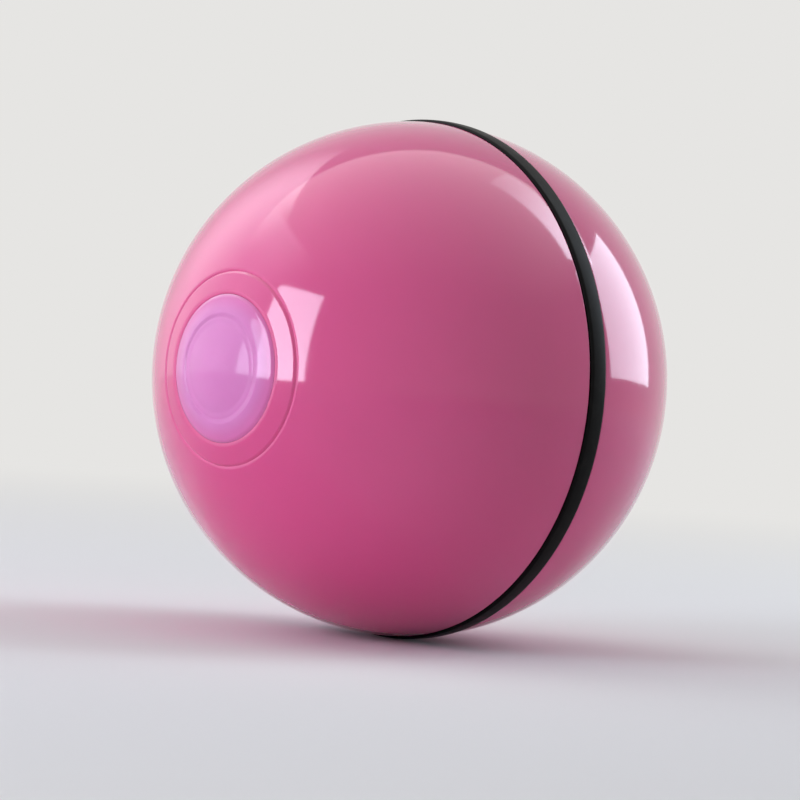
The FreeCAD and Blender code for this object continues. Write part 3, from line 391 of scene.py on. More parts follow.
class PETBALL_OT_shells(bpy.types.Operator):
    """Makes the two glossy half shells, with their ring grooves, cap pockets, collar, bore and lock ridges"""
    bl_idname = "petball.shells"
    bl_label = "Half shells"

    def execute(self, context):
        sizes = context.scene.pet_ball_sizes
        inside = BALL_RADIUS - sizes.wall
        collar_outer = BALL_RADIUS - COLLAR_DROP
        collar_inner = collar_outer - COLLAR_WALL
        bore = BALL_RADIUS - BORE_DROP
        seam = SEAM_HALF + SEAM_GAP
        lean = THREAD_LEAD / (2.0 * math.pi) * math.sin(RIDGE_HALF_ANGLE)
        ridge_reach = RIDGE_WIDTH / 2.0 + lean + RIDGE_RIM_GAP

        # A shell is an outline turned about the axle, from the pocket's floor over the outside to the rim
        # and back along the inside, and the flat web closes it round the axle
        quarter = math.pi / 2.0
        end = COLLAR_END - EDGE_ROUND
        collar_end = joined(
            [(-seam, collar_outer)],
            arc((end, collar_outer - EDGE_ROUND), EDGE_ROUND, quarter, 0.0, EDGE_POINTS),
            arc((end, collar_inner + EDGE_ROUND), EDGE_ROUND, 0.0, -quarter, EDGE_POINTS))
        left = joined(
            self.outside(sizes, sizes.left_rim_round), collar_end,
            self.inside(inside, -math.sqrt(inside ** 2 - collar_inner ** 2)))
        left_ridges = helical_ridges(
            COLLAR_END - ridge_reach, collar_outer - RIDGE_EMBED, collar_outer + RIDGE_HEIGHT)
        pocket = sizes.cap_radius + CAP_GAP / 2.0
        spigot_hole = np.array(((-WEB_FACE, SPIGOT_RADIUS), (-POCKET_FLOOR, SPIGOT_RADIUS)))
        web = [
            turned_surface(spigot_hole, SHELL_SEGMENTS, False),
            screwed_web(pocket, SHELL_SEGMENTS)]
        make_piece(
            "left_shell_surface", [turned_surface(left, SHELL_SEGMENTS, False), *web, left_ridges],
            "left_half", "pink_shell", "left_shell")

        bore_end = -COLLAR_END - BORE_PAST_COLLAR
        bore_edge = joined(
            arc((-seam - EDGE_ROUND, bore + EDGE_ROUND), EDGE_ROUND, 0.0, -quarter, EDGE_POINTS),
            [(bore_end, bore)])
        right = joined(
            self.outside(sizes, sizes.right_rim_round), bore_edge, self.inside(inside, bore_end))
        right_ridges = helical_ridges(seam + ridge_reach, bore + RIDGE_EMBED, bore - RIDGE_HEIGHT)
        shell = [mirrored(part) for part in (turned_surface(right, SHELL_SEGMENTS, False), *web)]
        make_piece(
            "right_shell_surface", [*shell, right_ridges],
            "right_half", "pink_shell", "right_shell")
        return {"FINISHED"}

    def outside(self, sizes, rim_radius):
        """The pocket's side under the cap, the ball's outside and the rounded rim."""
        pocket = sizes.cap_radius + CAP_GAP / 2.0
        rim, last_turn = rim_round(SEAM_HALF + SEAM_GAP, rim_radius)
        first_turn = math.asin(pocket / BALL_RADIUS)
        groove_floor = math.asin(sizes.groove_radius / BALL_RADIUS)
        past_groove = groove_floor + GROOVE_FINE_TURN
        turns = np.concatenate((
            np.linspace(first_turn, groove_floor, ROWS_TO_GROOVE, endpoint=False),
            np.linspace(groove_floor, past_groove, ROWS_OUT_OF_GROOVE, endpoint=False),
            np.linspace(past_groove, last_turn, ROWS_TO_RIM)))
        return joined([(-POCKET_FLOOR, pocket)], ball_surface(turns, sizes), rim[1:])

    def inside(self, radius, start_x):
        """The inner wall from start_x back to the edge of the flat web."""
        start = math.atan2(math.sqrt(radius ** 2 - start_x ** 2), start_x)
        end = math.atan2(WEB_RADIUS, -math.sqrt(radius ** 2 - WEB_RADIUS ** 2))
        return joined(arc((0.0, 0.0), radius, start, end, INSIDE_ROWS), [(-WEB_FACE, WEB_RADIUS)])


class PETBALL_OT_pole_caps(bpy.types.Operator):
    """Makes the two lilac caps that cover the hubs, each with a softly domed disc"""
    bl_idname = "petball.pole_caps"
    bl_label = "Pole caps"

    def execute(self, context):
        sizes = context.scene.pet_ball_sizes
        radius = sizes.cap_radius - CAP_GAP / 2.0
        turns = np.linspace(CAP_FIRST_TURN, math.asin(radius / BALL_RADIUS), CAP_ROWS)
        outline = joined(
            ball_surface(turns, sizes), [(-CAP_BACK, radius), (-CAP_BACK, CAP_FAN_RADIUS)])
        pole = ball_surface(np.array([0.0]), sizes)[0]
        cap = fanned(*turned_surface(outline, CAP_SEGMENTS, False), CAP_SEGMENTS, pole[0], -CAP_BACK)
        make_piece("left_pole_cap_surface", [cap], "left_half", "lilac_cap", "left_pole_cap")
        make_piece("right_pole_cap_surface", [mirrored(cap)], "right_half", "lilac_cap", "right_pole_cap")
        return {"FINISHED"}


class PETBALL_OT_seam_ring(bpy.types.Operator):
    """Makes the black rubber ring between the halves, with a slightly crowned tread"""
    bl_idname = "petball.seam_ring"
    bl_label = "Seam ring"

    def execute(self, context):
        sizes = context.scene.pet_ball_sizes
        inner = BALL_RADIUS - RING_DROP
        edge = sizes.seam_edge_round
        flat_half = SEAM_HALF - edge
        x = np.linspace(-flat_half, flat_half, TREAD_POINTS)
        # The tread is a parabola that falls by the crown from its middle to each edge
        tread = np.stack((x, SEAM_TOP - RING_CROWN * (x / flat_half) ** 2), axis=-1)
        side_top = SEAM_TOP - RING_CROWN - edge
        side_band = side_top - RING_SIDE_BAND
        outline = joined(
            [(-SEAM_HALF, inner), (-SEAM_HALF, side_band)],
            arc((-flat_half, side_top), edge, math.pi, math.pi / 2.0, RING_EDGE_POINTS),
            tread[1:-1],
            arc((flat_half, side_top), edge, math.pi / 2.0, 0.0, RING_EDGE_POINTS),
            [(SEAM_HALF, side_band), (SEAM_HALF, inner)])
        ring = turned_surface(outline, SHELL_SEGMENTS, True)
        make_piece("seam_ring_surface", [ring], "seam_ring", "black_rubber", "seam_ring")
        return {"FINISHED"}


# Materials. Pattern sizes are real sizes in millimetres, turned into a texture scale per metre.

def per_metre(millimetres):
    """The texture scale of a pattern that repeats over this many millimetres."""
    return 1.0 / (millimetres * MM)


def add_node(tree, kind, inputs=None, **settings):
    """Adds a node. An input is a value, or the output socket that feeds it."""
    node = tree.nodes.new(kind)
    for name, value in settings.items():
        setattr(node, name, value)
    for name, value in (inputs or {}).items():
        if isinstance(value, bpy.types.NodeSocket):
            tree.links.new(value, node.inputs[name])
        else:
            node.inputs[name].default_value = value
    return node


def new_material(name, **surface):
    """A material with one Principled shader, whose plain values are given."""
    material = bpy.data.materials.new(name)
    material.use_nodes = True
    tree = material.node_tree
    tree.nodes.clear()
    shader = add_node(tree, "ShaderNodeBsdfPrincipled", surface)
    add_node(tree, "ShaderNodeOutputMaterial", {"Surface": shader.outputs["BSDF"]})
    place = add_node(tree, "ShaderNodeTexCoord").outputs["Object"]
    return material, tree, shader, place


def shaded(colour, share):
    """A colour times a share, darker below 1 and lighter above it, with its alpha."""
    return (*(value * share for value in colour[:3]), 1.0)


def radius_from_axle(tree, place):
    """The distance of a point from the ball's axle."""
    parts = add_node(tree, "ShaderNodeSeparateXYZ", {"Vector": place})
    flat = add_node(tree, "ShaderNodeCombineXYZ", {"Y": parts.outputs["Y"], "Z": parts.outputs["Z"]})
    length = add_node(tree, "ShaderNodeVectorMath", {0: flat.outputs["Vector"]}, operation="LENGTH")
    return length.outputs["Value"]


def polished_skin(tree, shader, place, rough_low, rough_high):
    """The skin that a polished mould leaves: hairlines that only show as changes in gloss, and a very
    faint waviness. Gives the waviness as a normal."""
    # Hairlines 0.12 mm apart and 9 mm long, coarser than real ones so that they show
    stretch = add_node(tree, "ShaderNodeMapping", {
        "Vector": place, "Rotation": (0.5, 0.3, 0.7),
        "Scale": (per_metre(9.0), per_metre(0.12), per_metre(0.9))})
    hair = add_node(tree, "ShaderNodeTexNoise", {
        "Vector": stretch.outputs["Vector"], "Scale": 1.0, "Detail": 3.0, "Roughness": 0.6})
    rough = add_node(tree, "ShaderNodeMapRange", {
        "Value": hair.outputs["Fac"], "From Min": 0.45, "From Max": 0.75,
        "To Min": rough_low, "To Max": rough_high})
    tree.links.new(rough.outputs["Result"], shader.inputs["Roughness"])
    peel = add_node(tree, "ShaderNodeTexNoise", {
        "Vector": place, "Scale": per_metre(3.2), "Detail": 1.0, "Roughness": 0.4})
    bump = add_node(tree, "ShaderNodeBump", {
        "Height": peel.outputs["Fac"], "Strength": 0.5, "Distance": 0.012 * MM})
    return bump.outputs["Normal"]


def clouded(tree, place, colour, size, low, high):
    """A colour that drifts between two shades over the given size in millimetres."""
    cloud = add_node(tree, "ShaderNodeTexNoise", {
        "Vector": place, "Scale": per_metre(size), "Detail": 3.0, "Roughness": 0.55})
    tint = add_node(tree, "ShaderNodeMix", {
        "Factor": cloud.outputs["Fac"], "A": shaded(colour, low), "B": shaded(colour, high)},
        data_type="RGBA")
    return tint.outputs["Result"], cloud.outputs["Fac"]


def glossy_plastic(name, colour, rough_low, rough_high):
    """Polished injection-moulded ABS: a mirror-like skin over a tinted plastic that light enters a
    little, which keeps its shadows warm."""
    material, tree, shader, place = new_material(name, **{
        "IOR": 1.55, "Subsurface Weight": 0.12, "Subsurface Scale": 1.2 * MM,
        "Subsurface Radius": (1.0, 0.35, 0.45), "Coat Weight": 0.35, "Coat Roughness": 0.04, "Coat IOR": 1.5})
    tree.links.new(clouded(tree, place, colour, 14.0, 0.965, 1.03)[0], shader.inputs["Base Color"])
    skin = polished_skin(tree, shader, place, rough_low, rough_high)
    tree.links.new(skin, shader.inputs["Normal"])
    tree.links.new(skin, shader.inputs["Coat Normal"])
    return material


def clear_backed_plastic(name, colour, rim_colour):
    """Translucent tinted polycarbonate with an embossed back. The smooth front gives one reflection and
    the domed disc and ring on the back give a second, fainter one. The shell's pink shines through at
    the rim."""
    material, tree, shader, place = new_material(name, **{
        "IOR": 1.45, "Subsurface Weight": 0.15, "Subsurface Scale": 1.6 * MM,
        "Subsurface Radius": (1.0, 0.5, 0.8), "Coat Weight": 0.5, "Coat Roughness": 0.05, "Coat IOR": 1.5,
        "Specular IOR Level": 0.35})
    radius = radius_from_axle(tree, place)
    rim_start, rim_end = 6.5 * MM, 9.0 * MM
    disc_edge, disc_step_end, ring_end = 6.0 * MM, 6.7 * MM, 8.4 * MM
    rim = add_node(tree, "ShaderNodeMapRange", {
        "Value": radius, "From Min": rim_start, "From Max": rim_end, "To Min": 0.0, "To Max": 0.4},
        interpolation_type="SMOOTHSTEP")
    tint = add_node(tree, "ShaderNodeMix", {
        "Factor": rim.outputs["Result"], "A": clouded(tree, place, colour, 5.0, 0.95, 1.04)[0],
        "B": (*rim_colour, 1.0)}, data_type="RGBA")
    tree.links.new(tint.outputs["Result"], shader.inputs["Base Color"])
    skin = polished_skin(tree, shader, place, 0.10, 0.16)
    tree.links.new(skin, shader.inputs["Coat Normal"])
    # The disc on the back falls away as the square of its radius and steps back up in 0.7 mm, and the
    # ring outside it falls away again
    disc = add_node(tree, "ShaderNodeMapRange", {
        "Value": radius, "From Min": 0.0, "From Max": disc_edge})
    dome = add_node(tree, "ShaderNodeMath", {0: disc.outputs["Result"], 1: 2.0}, operation="POWER")
    step = add_node(tree, "ShaderNodeMapRange", {
        "Value": radius, "From Min": disc_edge, "From Max": disc_step_end, "To Min": 0.0, "To Max": 0.6},
        interpolation_type="SMOOTHSTEP")
    ring = add_node(tree, "ShaderNodeMapRange", {
        "Value": radius, "From Min": disc_step_end, "From Max": ring_end, "To Min": 0.0, "To Max": 0.4},
        interpolation_type="SMOOTHSTEP")
    relief = add_node(tree, "ShaderNodeMath", {
        0: step.outputs["Result"], 1: dome.outputs["Value"]}, operation="SUBTRACT")
    relief = add_node(tree, "ShaderNodeMath", {
        0: relief.outputs["Value"], 1: ring.outputs["Result"]}, operation="SUBTRACT")
    bump = add_node(tree, "ShaderNodeBump", {
        "Height": relief.outputs["Value"], "Strength": 1.0, "Distance": 0.42 * MM, "Normal": skin})
    tree.links.new(bump.outputs["Normal"], shader.inputs["Normal"])
    return material


def satin_plastic(name, colour, grain=0.22, roughness=0.42, clearness=0.0, relief=0.008):
    """ABS or acetal from a spark-eroded mould: an even, very fine grain that spreads the highlight, with
    slightly shinier patches where the piece has been handled."""
    material, tree, shader, place = new_material(name, **{
        "IOR": 1.52, "Subsurface Weight": clearness, "Subsurface Scale": 0.8 * MM,
        "Subsurface Radius": (1.0, 0.9, 0.8)})
    tint, cloud = clouded(tree, place, colour, 6.0, 0.95, 1.03)
    tree.links.new(tint, shader.inputs["Base Color"])
    rough = add_node(tree, "ShaderNodeMapRange", {
        "Value": cloud, "From Min": 0.3, "From Max": 0.7,
        "To Min": roughness - 0.06, "To Max": roughness + 0.06})
    tree.links.new(rough.outputs["Result"], shader.inputs["Roughness"])
    spark = add_node(tree, "ShaderNodeTexNoise", {
        "Vector": place, "Scale": per_metre(grain), "Detail": 2.0, "Roughness": 0.6})
    bump = add_node(tree, "ShaderNodeBump", {
        "Height": spark.outputs["Fac"], "Strength": 0.6, "Distance": relief * MM})
    tree.links.new(bump.outputs["Normal"], shader.inputs["Normal"])
    return material


def rubber(name, colour):
    """Moulded silicone rubber: near black, matt, with a fine pebble and pale dust in its pores."""
    material, tree, shader, place = new_material(name, **{"IOR": 1.41, "Specular IOR Level": 0.1})
    dust = add_node(tree, "ShaderNodeTexNoise", {
        "Vector": place, "Scale": per_metre(1.6), "Detail": 5.0, "Roughness": 0.65})
    tint = add_node(tree, "ShaderNodeMapRange", {
        "Value": dust.outputs["Fac"], "From Min": 0.50, "From Max": 0.80, "To Min": 0.0, "To Max": 0.03})
    mix = add_node(tree, "ShaderNodeMix", {
        "Factor": tint.outputs["Result"], "A": shaded(colour, 1.0), "B": (*linear("8C8682"), 1.0)},
        data_type="RGBA")
    tree.links.new(mix.outputs["Result"], shader.inputs["Base Color"])
    rough = add_node(tree, "ShaderNodeMapRange", {
        "Value": dust.outputs["Fac"], "From Min": 0.3, "From Max": 0.7, "To Min": 0.36, "To Max": 0.50})
    tree.links.new(rough.outputs["Result"], shader.inputs["Roughness"])
    pebble = add_node(tree, "ShaderNodeTexNoise", {
        "Vector": place, "Scale": per_metre(0.18), "Detail": 2.0, "Roughness": 0.5})
    bump = add_node(tree, "ShaderNodeBump", {
        "Height": pebble.outputs["Fac"], "Strength": 0.6, "Distance": 0.005 * MM})
    tree.links.new(bump.outputs["Normal"], shader.inputs["Normal"])
    return material


def turned_metal(name, colour, roughness=0.26, pitch=0.16):
    """Metal with the marks of turning or rolling: fine rings about the axle's direction, drawn 0.16 to
    0.3 mm apart so that they show, where real ones are closer, and a slow change of tone."""
    material, tree, shader, place = new_material(name, Metallic=1.0)
    parts = add_node(tree, "ShaderNodeSeparateXYZ", {"Vector": place})
    along = add_node(tree, "ShaderNodeCombineXYZ", {
        "X": parts.outputs["X"], "Y": radius_from_axle(tree, place), "Z": 0.0})
    marks = add_node(tree, "ShaderNodeTexNoise", {
        "Vector": along.outputs["Vector"], "Scale": per_metre(pitch), "Detail": 3.0, "Roughness": 0.7})
    tone = add_node(tree, "ShaderNodeTexNoise", {
        "Vector": place, "Scale": per_metre(2.5), "Detail": 4.0, "Roughness": 0.6})
    tint = add_node(tree, "ShaderNodeMix", {
        "Factor": tone.outputs["Fac"], "A": shaded(colour, 0.86), "B": shaded(colour, 1.04)},
        data_type="RGBA")
    tree.links.new(tint.outputs["Result"], shader.inputs["Base Color"])
    rough = add_node(tree, "ShaderNodeMapRange", {
        "Value": marks.outputs["Fac"], "From Min": 0.3, "From Max": 0.7,
        "To Min": roughness - 0.06, "To Max": roughness + 0.10})
    tree.links.new(rough.outputs["Result"], shader.inputs["Roughness"])
    bump = add_node(tree, "ShaderNodeBump", {
        "Height": marks.outputs["Fac"], "Strength": 0.5, "Distance": 0.006 * MM})
    tree.links.new(bump.outputs["Normal"], shader.inputs["Normal"])
    return material


def painted_steel(name, colour):
    """Cast weight under a thin black paint: an orange-peel skin, worn to grey in small specks."""
    material, tree, shader, place = new_material(name, Metallic=0.0)
    speck = add_node(tree, "ShaderNodeTexNoise", {
        "Vector": place, "Scale": per_metre(0.9), "Detail": 6.0, "Roughness": 0.7})
    worn = add_node(tree, "ShaderNodeMapRange", {
        "Value": speck.outputs["Fac"], "From Min": 0.66, "From Max": 0.72})
    mix = add_node(tree, "ShaderNodeMix", {
        "Factor": worn.outputs["Result"], "A": shaded(colour, 1.0), "B": (*linear("8B8D8F"), 1.0)},
        data_type="RGBA")
    tree.links.new(mix.outputs["Result"], shader.inputs["Base Color"])
    tree.links.new(worn.outputs["Result"], shader.inputs["Metallic"])
    shader.inputs["Roughness"].default_value = 0.38
    bump = add_node(tree, "ShaderNodeBump", {
        "Height": speck.outputs["Fac"], "Strength": 0.5, "Distance": 0.03 * MM})
    tree.links.new(bump.outputs["Normal"], shader.inputs["Normal"])
    return material


def circuit_board(name, colour):
    """Glass-epoxy board under green solder mask: thin raised copper tracks in a square maze, darker
    where the bare laminate shows between them."""
    material, tree, shader, place = new_material(name, Roughness=0.28)
    parts = add_node(tree, "ShaderNodeSeparateXYZ", {"Vector": place})
    flat = add_node(tree, "ShaderNodeCombineXYZ", {
        "X": parts.outputs["Y"], "Y": parts.outputs["Z"], "Z": 0.0})
    tracks = add_node(tree, "ShaderNodeTexBrick", {
        "Vector": flat.outputs["Vector"], "Scale": per_metre(9.0), "Color1": shaded(colour, 1.25),
        "Color2": shaded(colour, 1.0), "Mortar": shaded(colour, 0.55), "Mortar Size": 0.02,
        "Brick Width": 0.35, "Row Height": 0.16})
    tree.links.new(tracks.outputs["Color"], shader.inputs["Base Color"])
    bump = add_node(tree, "ShaderNodeBump", {
        "Height": tracks.outputs["Fac"], "Strength": 0.4, "Distance": 0.03 * MM}, invert=True)
    tree.links.new(bump.outputs["Normal"], shader.inputs["Normal"])
    return material


def foil_wrap(name, colour):
    """Aluminium-plastic pouch film: dull silver with soft dents and creases. Its colour has painted shade in
    the hollows of the dents and painted light on their rises.
    """
    material, tree, shader, place = new_material(name, Metallic=0.75, Roughness=0.38)
    dents = add_node(tree, "ShaderNodeTexNoise", {
        "Vector": place, "Scale": per_metre(5.0), "Detail": 4.0, "Roughness": 0.5, "Distortion": 0.6})
    # Painted shade and light: the tone follows the dents' height, darker in their hollows and lighter on
    # their rises
    tint = add_node(tree, "ShaderNodeMix", {
        "Factor": dents.outputs["Fac"], "A": shaded(colour, 0.85), "B": shaded(colour, 1.08)},
        data_type="RGBA")
    tree.links.new(tint.outputs["Result"], shader.inputs["Base Color"])
    bump = add_node(tree, "ShaderNodeBump", {
        "Height": dents.outputs["Fac"], "Strength": 0.7, "Distance": 0.12 * MM})
    tree.links.new(bump.outputs["Normal"], shader.inputs["Normal"])
    return material


def cell_foam(name, colour):
    """Closed-cell foam: matt, with open cut cells 0.5 mm across on its faces. Each cell has painted shade,
    darker towards its hollow middle and lighter at its rim.
    """
    material, tree, shader, place = new_material(name, Roughness=0.9)
    cells = add_node(tree, "ShaderNodeTexVoronoi", {"Vector": place, "Scale": per_metre(0.5)})
    # Painted shade: each cell's colour darkens towards its hollow middle, where the bump is lowest, and
    # lightens at its raised rim
    tint = add_node(tree, "ShaderNodeMix", {
        "Factor": cells.outputs["Distance"], "A": shaded(colour, 0.6), "B": shaded(colour, 1.5)},
        data_type="RGBA")
    tree.links.new(tint.outputs["Result"], shader.inputs["Base Color"])
    bump = add_node(tree, "ShaderNodeBump", {
        "Height": cells.outputs["Distance"], "Strength": 0.8, "Distance": 0.15 * MM})
    tree.links.new(bump.outputs["Normal"], shader.inputs["Normal"])
    return material


def acrylic_lens(name, colour):
    """Clear acrylic light pipe with a lightly frosted face: it glows pale from the white housing
    behind and keeps a sharp highlight."""
    material, tree, shader, place = new_material(name, **{
        "Base Color": shaded(colour, 1.0), "IOR": 1.49, "Transmission Weight": 0.85, "Coat Weight": 0.3})
    frost = add_node(tree, "ShaderNodeTexNoise", {
        "Vector": place, "Scale": per_metre(0.25), "Detail": 2.0})
    rough = add_node(tree, "ShaderNodeMapRange", {
        "Value": frost.outputs["Fac"], "From Min": 0.3, "From Max": 0.7, "To Min": 0.12, "To Max": 0.3})
    tree.links.new(rough.outputs["Result"], shader.inputs["Roughness"])
    return material


FINISHES = {
    "hub_plastic": lambda: satin_plastic("hub moulded ABS", linear("E9E6E0"), roughness=0.45),
    "gear_plastic": lambda: satin_plastic("gear acetal", linear("EFEBDD"), 0.3, 0.36, clearness=0.25),
    "steel": lambda: turned_metal("screw and pin steel", linear("B9BBBE")),
    "motor_steel": lambda: turned_metal("nickel-plated motor steel", linear("A9ABAD"), 0.3, 0.3),
    "weight_steel": lambda: painted_steel("painted weight steel", linear("3B3D40")),
    "bronze": lambda: turned_metal("sintered bronze", linear("B98A4E"), 0.42, 0.25),
    "brass_tab": lambda: turned_metal("tinned brass", linear("C9A45A"), 0.32, 0.2),
    "black_plastic": lambda: satin_plastic("black moulded nylon", linear("1B1B1D"), 0.25, 0.4),
    "white_plastic": lambda: satin_plastic("white moulded nylon", linear("F0F0EC"), 0.25, 0.42),
    "lens_plastic": lambda: acrylic_lens("clear acrylic", linear("F4F6F8")),
    "lamp": lambda: satin_plastic("lamp phosphor resin", linear("F3EFC8"), 0.2, 0.3, clearness=0.2),
    "board": lambda: circuit_board("solder-masked glass epoxy", linear("1F6B3A")),
    "battery_wrap": lambda: foil_wrap("battery pouch foil", linear("9FA6AD")),
    "foam": lambda: cell_foam("closed-cell foam", linear("2B2B2D")),
    "lead_insulation": lambda: satin_plastic("red PVC insulation", linear("B3221F"), 0.3, 0.3),
}


class PETBALL_OT_finishes(bpy.types.Operator):
    """Gives every piece the material of its real finish"""
    bl_idname = "petball.finishes"
    bl_label = "Finishes"

    def execute(self, context):
        colours = context.scene.pet_ball_colours
        made = {slot: make() for slot, make in FINISHES.items()}
        made["pink_shell"] = glossy_plastic("polished pink ABS", colours.shell, 0.07, 0.13)
        made["lilac_cap"] = clear_backed_plastic("lilac polycarbonate", colours.cap, colours.shell)
        made["button_plastic"] = glossy_plastic("polished button ABS", colours.shell, 0.22, 0.32)
        made["black_rubber"] = rubber("black silicone rubber", colours.seam)
        made["core_housing"] = satin_plastic(
            "spark-eroded white ABS", colours.housing, 0.35, 0.46, relief=0.02)
        surfaces = [piece for piece in bpy.data.objects if "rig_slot" in piece]
        for piece in [*frame["nodes"].values(), *surfaces]:
            slot = piece.get("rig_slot") or piece.material_slots[0].material.name.split(".")[0]
            piece.data.materials.clear()
            piece.data.materials.append(made[slot])
        return {"FINISHED"}


class PETBALL_OT_stage(bpy.types.Operator):
    """Sets the pale floor, the soft lights and the camera at the photograph's viewing angle"""
    bl_idname = "petball.stage"
    bl_label = "Studio"

    def execute(self, context):
        self.make_floor(context)
        self.make_world(context)
        right, towards = self.make_camera(context)
        # Each light: its name, its bearing to the camera's right, height and roll in degrees, distance, size,
        # the radiance at its lower and at its upper edge, the share of its width over which each side
        # fades, and its colour
        lights = (
            ("left softbox", -57.0, 6.0, 0.0, 0.55, (0.24, 0.52), (10.0, 7.2), 0.02, "E6EAFF"),
            ("back left softbox", -127.0, 24.0, 0.0, 0.60, (0.60, 0.62), (0.5, 2.2), 0.5, "F4F6FF"),
            ("broad left softbox", -92.0, 16.0, 0.0, 0.65, (0.80, 0.80), (1.0, 1.0), 0.5, "ECE8FF"),
            ("right softbox", 115.0, 19.0, -6.0, 0.60, (0.37, 0.35), (4.0, 4.2), 0.04, "E2F0FF"),
            ("upper right softbox", 118.0, 50.5, -41.0, 0.60, (0.16, 0.34), (6.0, 0.8), 0.12, "E2F0FF"),
            ("overhead softbox", 4.0, 79.0, 0.0, 0.62, (2.20, 1.10), (0.0, 1.2), 0.3, "FFFBF8"),
        )
        for light in lights:
            self.make_light(context, right, towards, *light)
        context.scene.view_settings.view_transform = "Standard"
        return {"FINISHED"}

    def make_floor(self, context):
        """A wide disc at the ball's lowest point whose shade fades into the background's colour."""
        reach, fade_start, fade_end = 3.0, 0.08, 0.45
        turn = np.linspace(0.0, 2.0 * np.pi, FLOOR_SEGMENTS, endpoint=False)
        level = np.full(FLOOR_SEGMENTS, FLOOR_HEIGHT)
        points = np.stack((reach * np.cos(turn), reach * np.sin(turn), level), axis=-1)
        mesh = bpy.data.meshes.new("studio_floor")
        mesh.from_pydata(points.tolist(), [], [list(range(FLOOR_SEGMENTS))])
        floor = bpy.data.objects.new("studio_floor", mesh)
        context.scene.collection.objects.link(floor)
        colour = (*context.scene.pet_ball_colours.floor, 1.0)
        material = bpy.data.materials.new("pale studio floor")
        material.use_nodes = True
        tree = material.node_tree
        tree.nodes.clear()
        place = add_node(tree, "ShaderNodeTexCoord").outputs["Object"]
        distance = add_node(tree, "ShaderNodeVectorMath", {0: place}, operation="LENGTH")
        fade = add_node(tree, "ShaderNodeMapRange", {
            "Value": distance.outputs["Value"], "From Min": fade_start, "From Max": fade_end},
            interpolation_type="SMOOTHSTEP")
        paint = add_node(tree, "ShaderNodeBsdfPrincipled", {
            "Base Color": colour, "Roughness": 0.9, "Specular IOR Level": 0.0})
        glow = add_node(tree, "ShaderNodeEmission", {"Color": colour, "Strength": 1.0})
        mix = add_node(tree, "ShaderNodeMixShader", {
            0: fade.outputs["Result"], 1: paint.outputs["BSDF"], 2: glow.outputs["Emission"]})
        add_node(tree, "ShaderNodeOutputMaterial", {"Surface": mix.outputs["Shader"]})
        mesh.materials.append(material)

    def make_world(self, context):
        """A pale background for what is seen directly or mirrored, and a weaker even fill for the rest."""
        world = bpy.data.worlds.new("pale studio")
        world.use_nodes = True
        tree = world.node_tree
        tree.nodes.clear()
        rays = add_node(tree, "ShaderNodeLightPath")
        seen = add_node(tree, "ShaderNodeMath", {
            0: rays.outputs["Is Camera Ray"], 1: rays.outputs["Is Glossy Ray"]}, operation="MAXIMUM")
        seen = add_node(tree, "ShaderNodeMath", {
            0: seen.outputs["Value"], 1: rays.outputs["Is Transmission Ray"]}, operation="MAXIMUM")
        fill = add_node(tree, "ShaderNodeBackground", {"Color": (1.0, 1.0, 1.0, 1.0), "Strength": 0.08})
        pale = add_node(tree, "ShaderNodeBackground", {
            "Color": (*context.scene.pet_ball_colours.floor, 1.0), "Strength": 1.0})
        mix = add_node(tree, "ShaderNodeMixShader", {
            0: seen.outputs["Value"], 1: fill.outputs["Background"], 2: pale.outputs["Background"]})
        add_node(tree, "ShaderNodeOutputWorld", {"Surface": mix.outputs["Shader"]})
        context.scene.world = world

    def make_camera(self, context):
        """The camera stands 14 ball radii away, level with the ball but for one degree, and is rolled so
        that the left pole lies a little above the middle, as in the photograph. The frame is 800 pixels
        wide, and the ball's centre is drawn 9.5 pixels right of its middle and 21 above it. Gives the
        level directions to the camera's right and from the ball towards the camera."""
        frame_width, lens_pixels = 800.0, 3616.0
        pixels_right, pixels_above = 9.5, 21.0
        distance = 0.450
        azimuth, elevation, roll = (math.radians(angle) for angle in (-44.0, 1.0, 3.95))
        right_level = Vector((math.cos(azimuth), math.sin(azimuth), 0.0))
        towards_level = Vector((math.sin(azimuth), -math.cos(azimuth), 0.0))
        towards = towards_level * math.cos(elevation) + Vector((0.0, 0.0, math.sin(elevation)))
        upright = towards.cross(right_level)
        right = right_level * math.cos(roll) + upright * math.sin(roll)
        up = upright * math.cos(roll) - right_level * math.sin(roll)
        metres_a_pixel = distance / lens_pixels
        data = bpy.data.cameras.new("camera")
        data.sensor_width = 36.0
        data.lens = lens_pixels / frame_width * data.sensor_width
        data.clip_start, data.clip_end = 0.01, 20.0
        camera = bpy.data.objects.new("camera", data)
        context.scene.collection.objects.link(camera)
        eye = towards * distance - (right * pixels_right + up * pixels_above) * metres_a_pixel
        turn = Matrix((right, up, towards)).transposed().to_4x4()
        camera.matrix_world = Matrix.Translation(eye) @ turn
        context.scene.camera = camera
        return right_level, towards_level

    def make_light(
            self, context, right, towards, name, bearing, height, roll, distance, size, radiance, fade, code):
        """A rectangular softbox that faces the ball. Its radiance runs smoothly from its lower to its upper
        edge and fades to nothing at its two sides."""
        bearing, height = math.radians(bearing), math.radians(height)
        direction = (right * math.sin(bearing) + towards * math.cos(bearing)) * math.cos(height)
        direction.z = math.sin(height)
        data = bpy.data.lights.new(name, "AREA")
        data.shape = "RECTANGLE"
        data.size, data.size_y = size
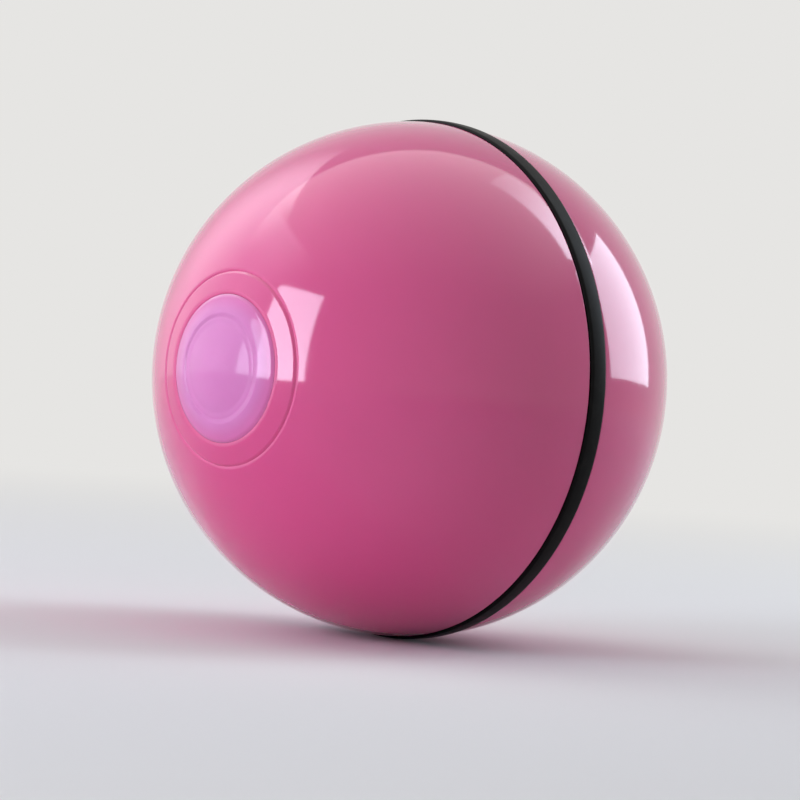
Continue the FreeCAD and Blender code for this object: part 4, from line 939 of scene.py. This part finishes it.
        # At this power an evenly lit softbox has a radiance of 1, which its nodes multiply
        data.energy = math.pi * size[0] * size[1]
        data.color = linear(code)
        data.use_nodes = True
        tree = data.node_tree
        tree.nodes.clear()
        spot = add_node(tree, "ShaderNodeNewGeometry").outputs["Parametric"]
        spot = add_node(tree, "ShaderNodeSeparateXYZ", {"Vector": spot})
        run = add_node(tree, "ShaderNodeMapRange", {
            "Value": spot.outputs["Y"], "To Min": radiance[0], "To Max": radiance[1]},
            interpolation_type="SMOOTHSTEP")
        side = add_node(tree, "ShaderNodeMath", {0: spot.outputs["X"], 1: 0.5}, operation="PINGPONG")
        side = add_node(tree, "ShaderNodeMapRange", {
            "Value": side.outputs["Value"], "From Max": fade}, interpolation_type="SMOOTHSTEP")
        strength = add_node(tree, "ShaderNodeMath", {
            0: run.outputs["Result"], 1: side.outputs["Result"]}, operation="MULTIPLY")
        glow = add_node(tree, "ShaderNodeEmission", {"Strength": strength.outputs["Value"]})
        add_node(tree, "ShaderNodeOutputLight", {"Surface": glow.outputs["Emission"]})
        light = bpy.data.objects.new(name, data)
        context.scene.collection.objects.link(light)
        light.visible_camera = False
        turn = direction.to_track_quat("Z", "Y") @ Quaternion((0.0, 0.0, 1.0), math.radians(roll))
        light.matrix_world = Matrix.Translation(direction * distance) @ turn.to_matrix().to_4x4()


class PETBALL_PT_panel(bpy.types.Panel):
    """Lists the ball's sizes and colours, and the buttons that make its pieces"""
    bl_idname = "PETBALL_PT_panel"
    bl_label = "Pet Ball"
    bl_space_type = "VIEW_3D"
    bl_region_type = "UI"
    bl_category = "Pet Ball"

    def draw(self, context):
        for group in (context.scene.pet_ball_sizes, context.scene.pet_ball_colours):
            column = self.layout.column(align=True)
            for name in group.bl_rna.properties.keys():
                if name not in ("rna_type", "name"):
                    column.prop(group, name)
        for operator in OPERATORS:
            self.layout.operator(operator.bl_idname)


OPERATORS = (
    PETBALL_OT_stage,
    PETBALL_OT_shells,
    PETBALL_OT_pole_caps,
    PETBALL_OT_seam_ring,
    PETBALL_OT_finishes,
)
CLASSES = (PetBallSizes, PetBallColours, *OPERATORS, PETBALL_PT_panel)


def register():
    for each in CLASSES:
        bpy.utils.register_class(each)
    bpy.types.Scene.pet_ball_sizes = PointerProperty(type=PetBallSizes)
    bpy.types.Scene.pet_ball_colours = PointerProperty(type=PetBallColours)


def unregister():
    del bpy.types.Scene.pet_ball_colours
    del bpy.types.Scene.pet_ball_sizes
    for each in reversed(CLASSES):
        bpy.utils.unregister_class(each)


def main():
    register()
    bpy.ops.petball.stage()
    bpy.ops.petball.shells()
    bpy.ops.petball.pole_caps()
    bpy.ops.petball.seam_ring()
    bpy.ops.petball.finishes()


if __name__ == "__main__":
    main()
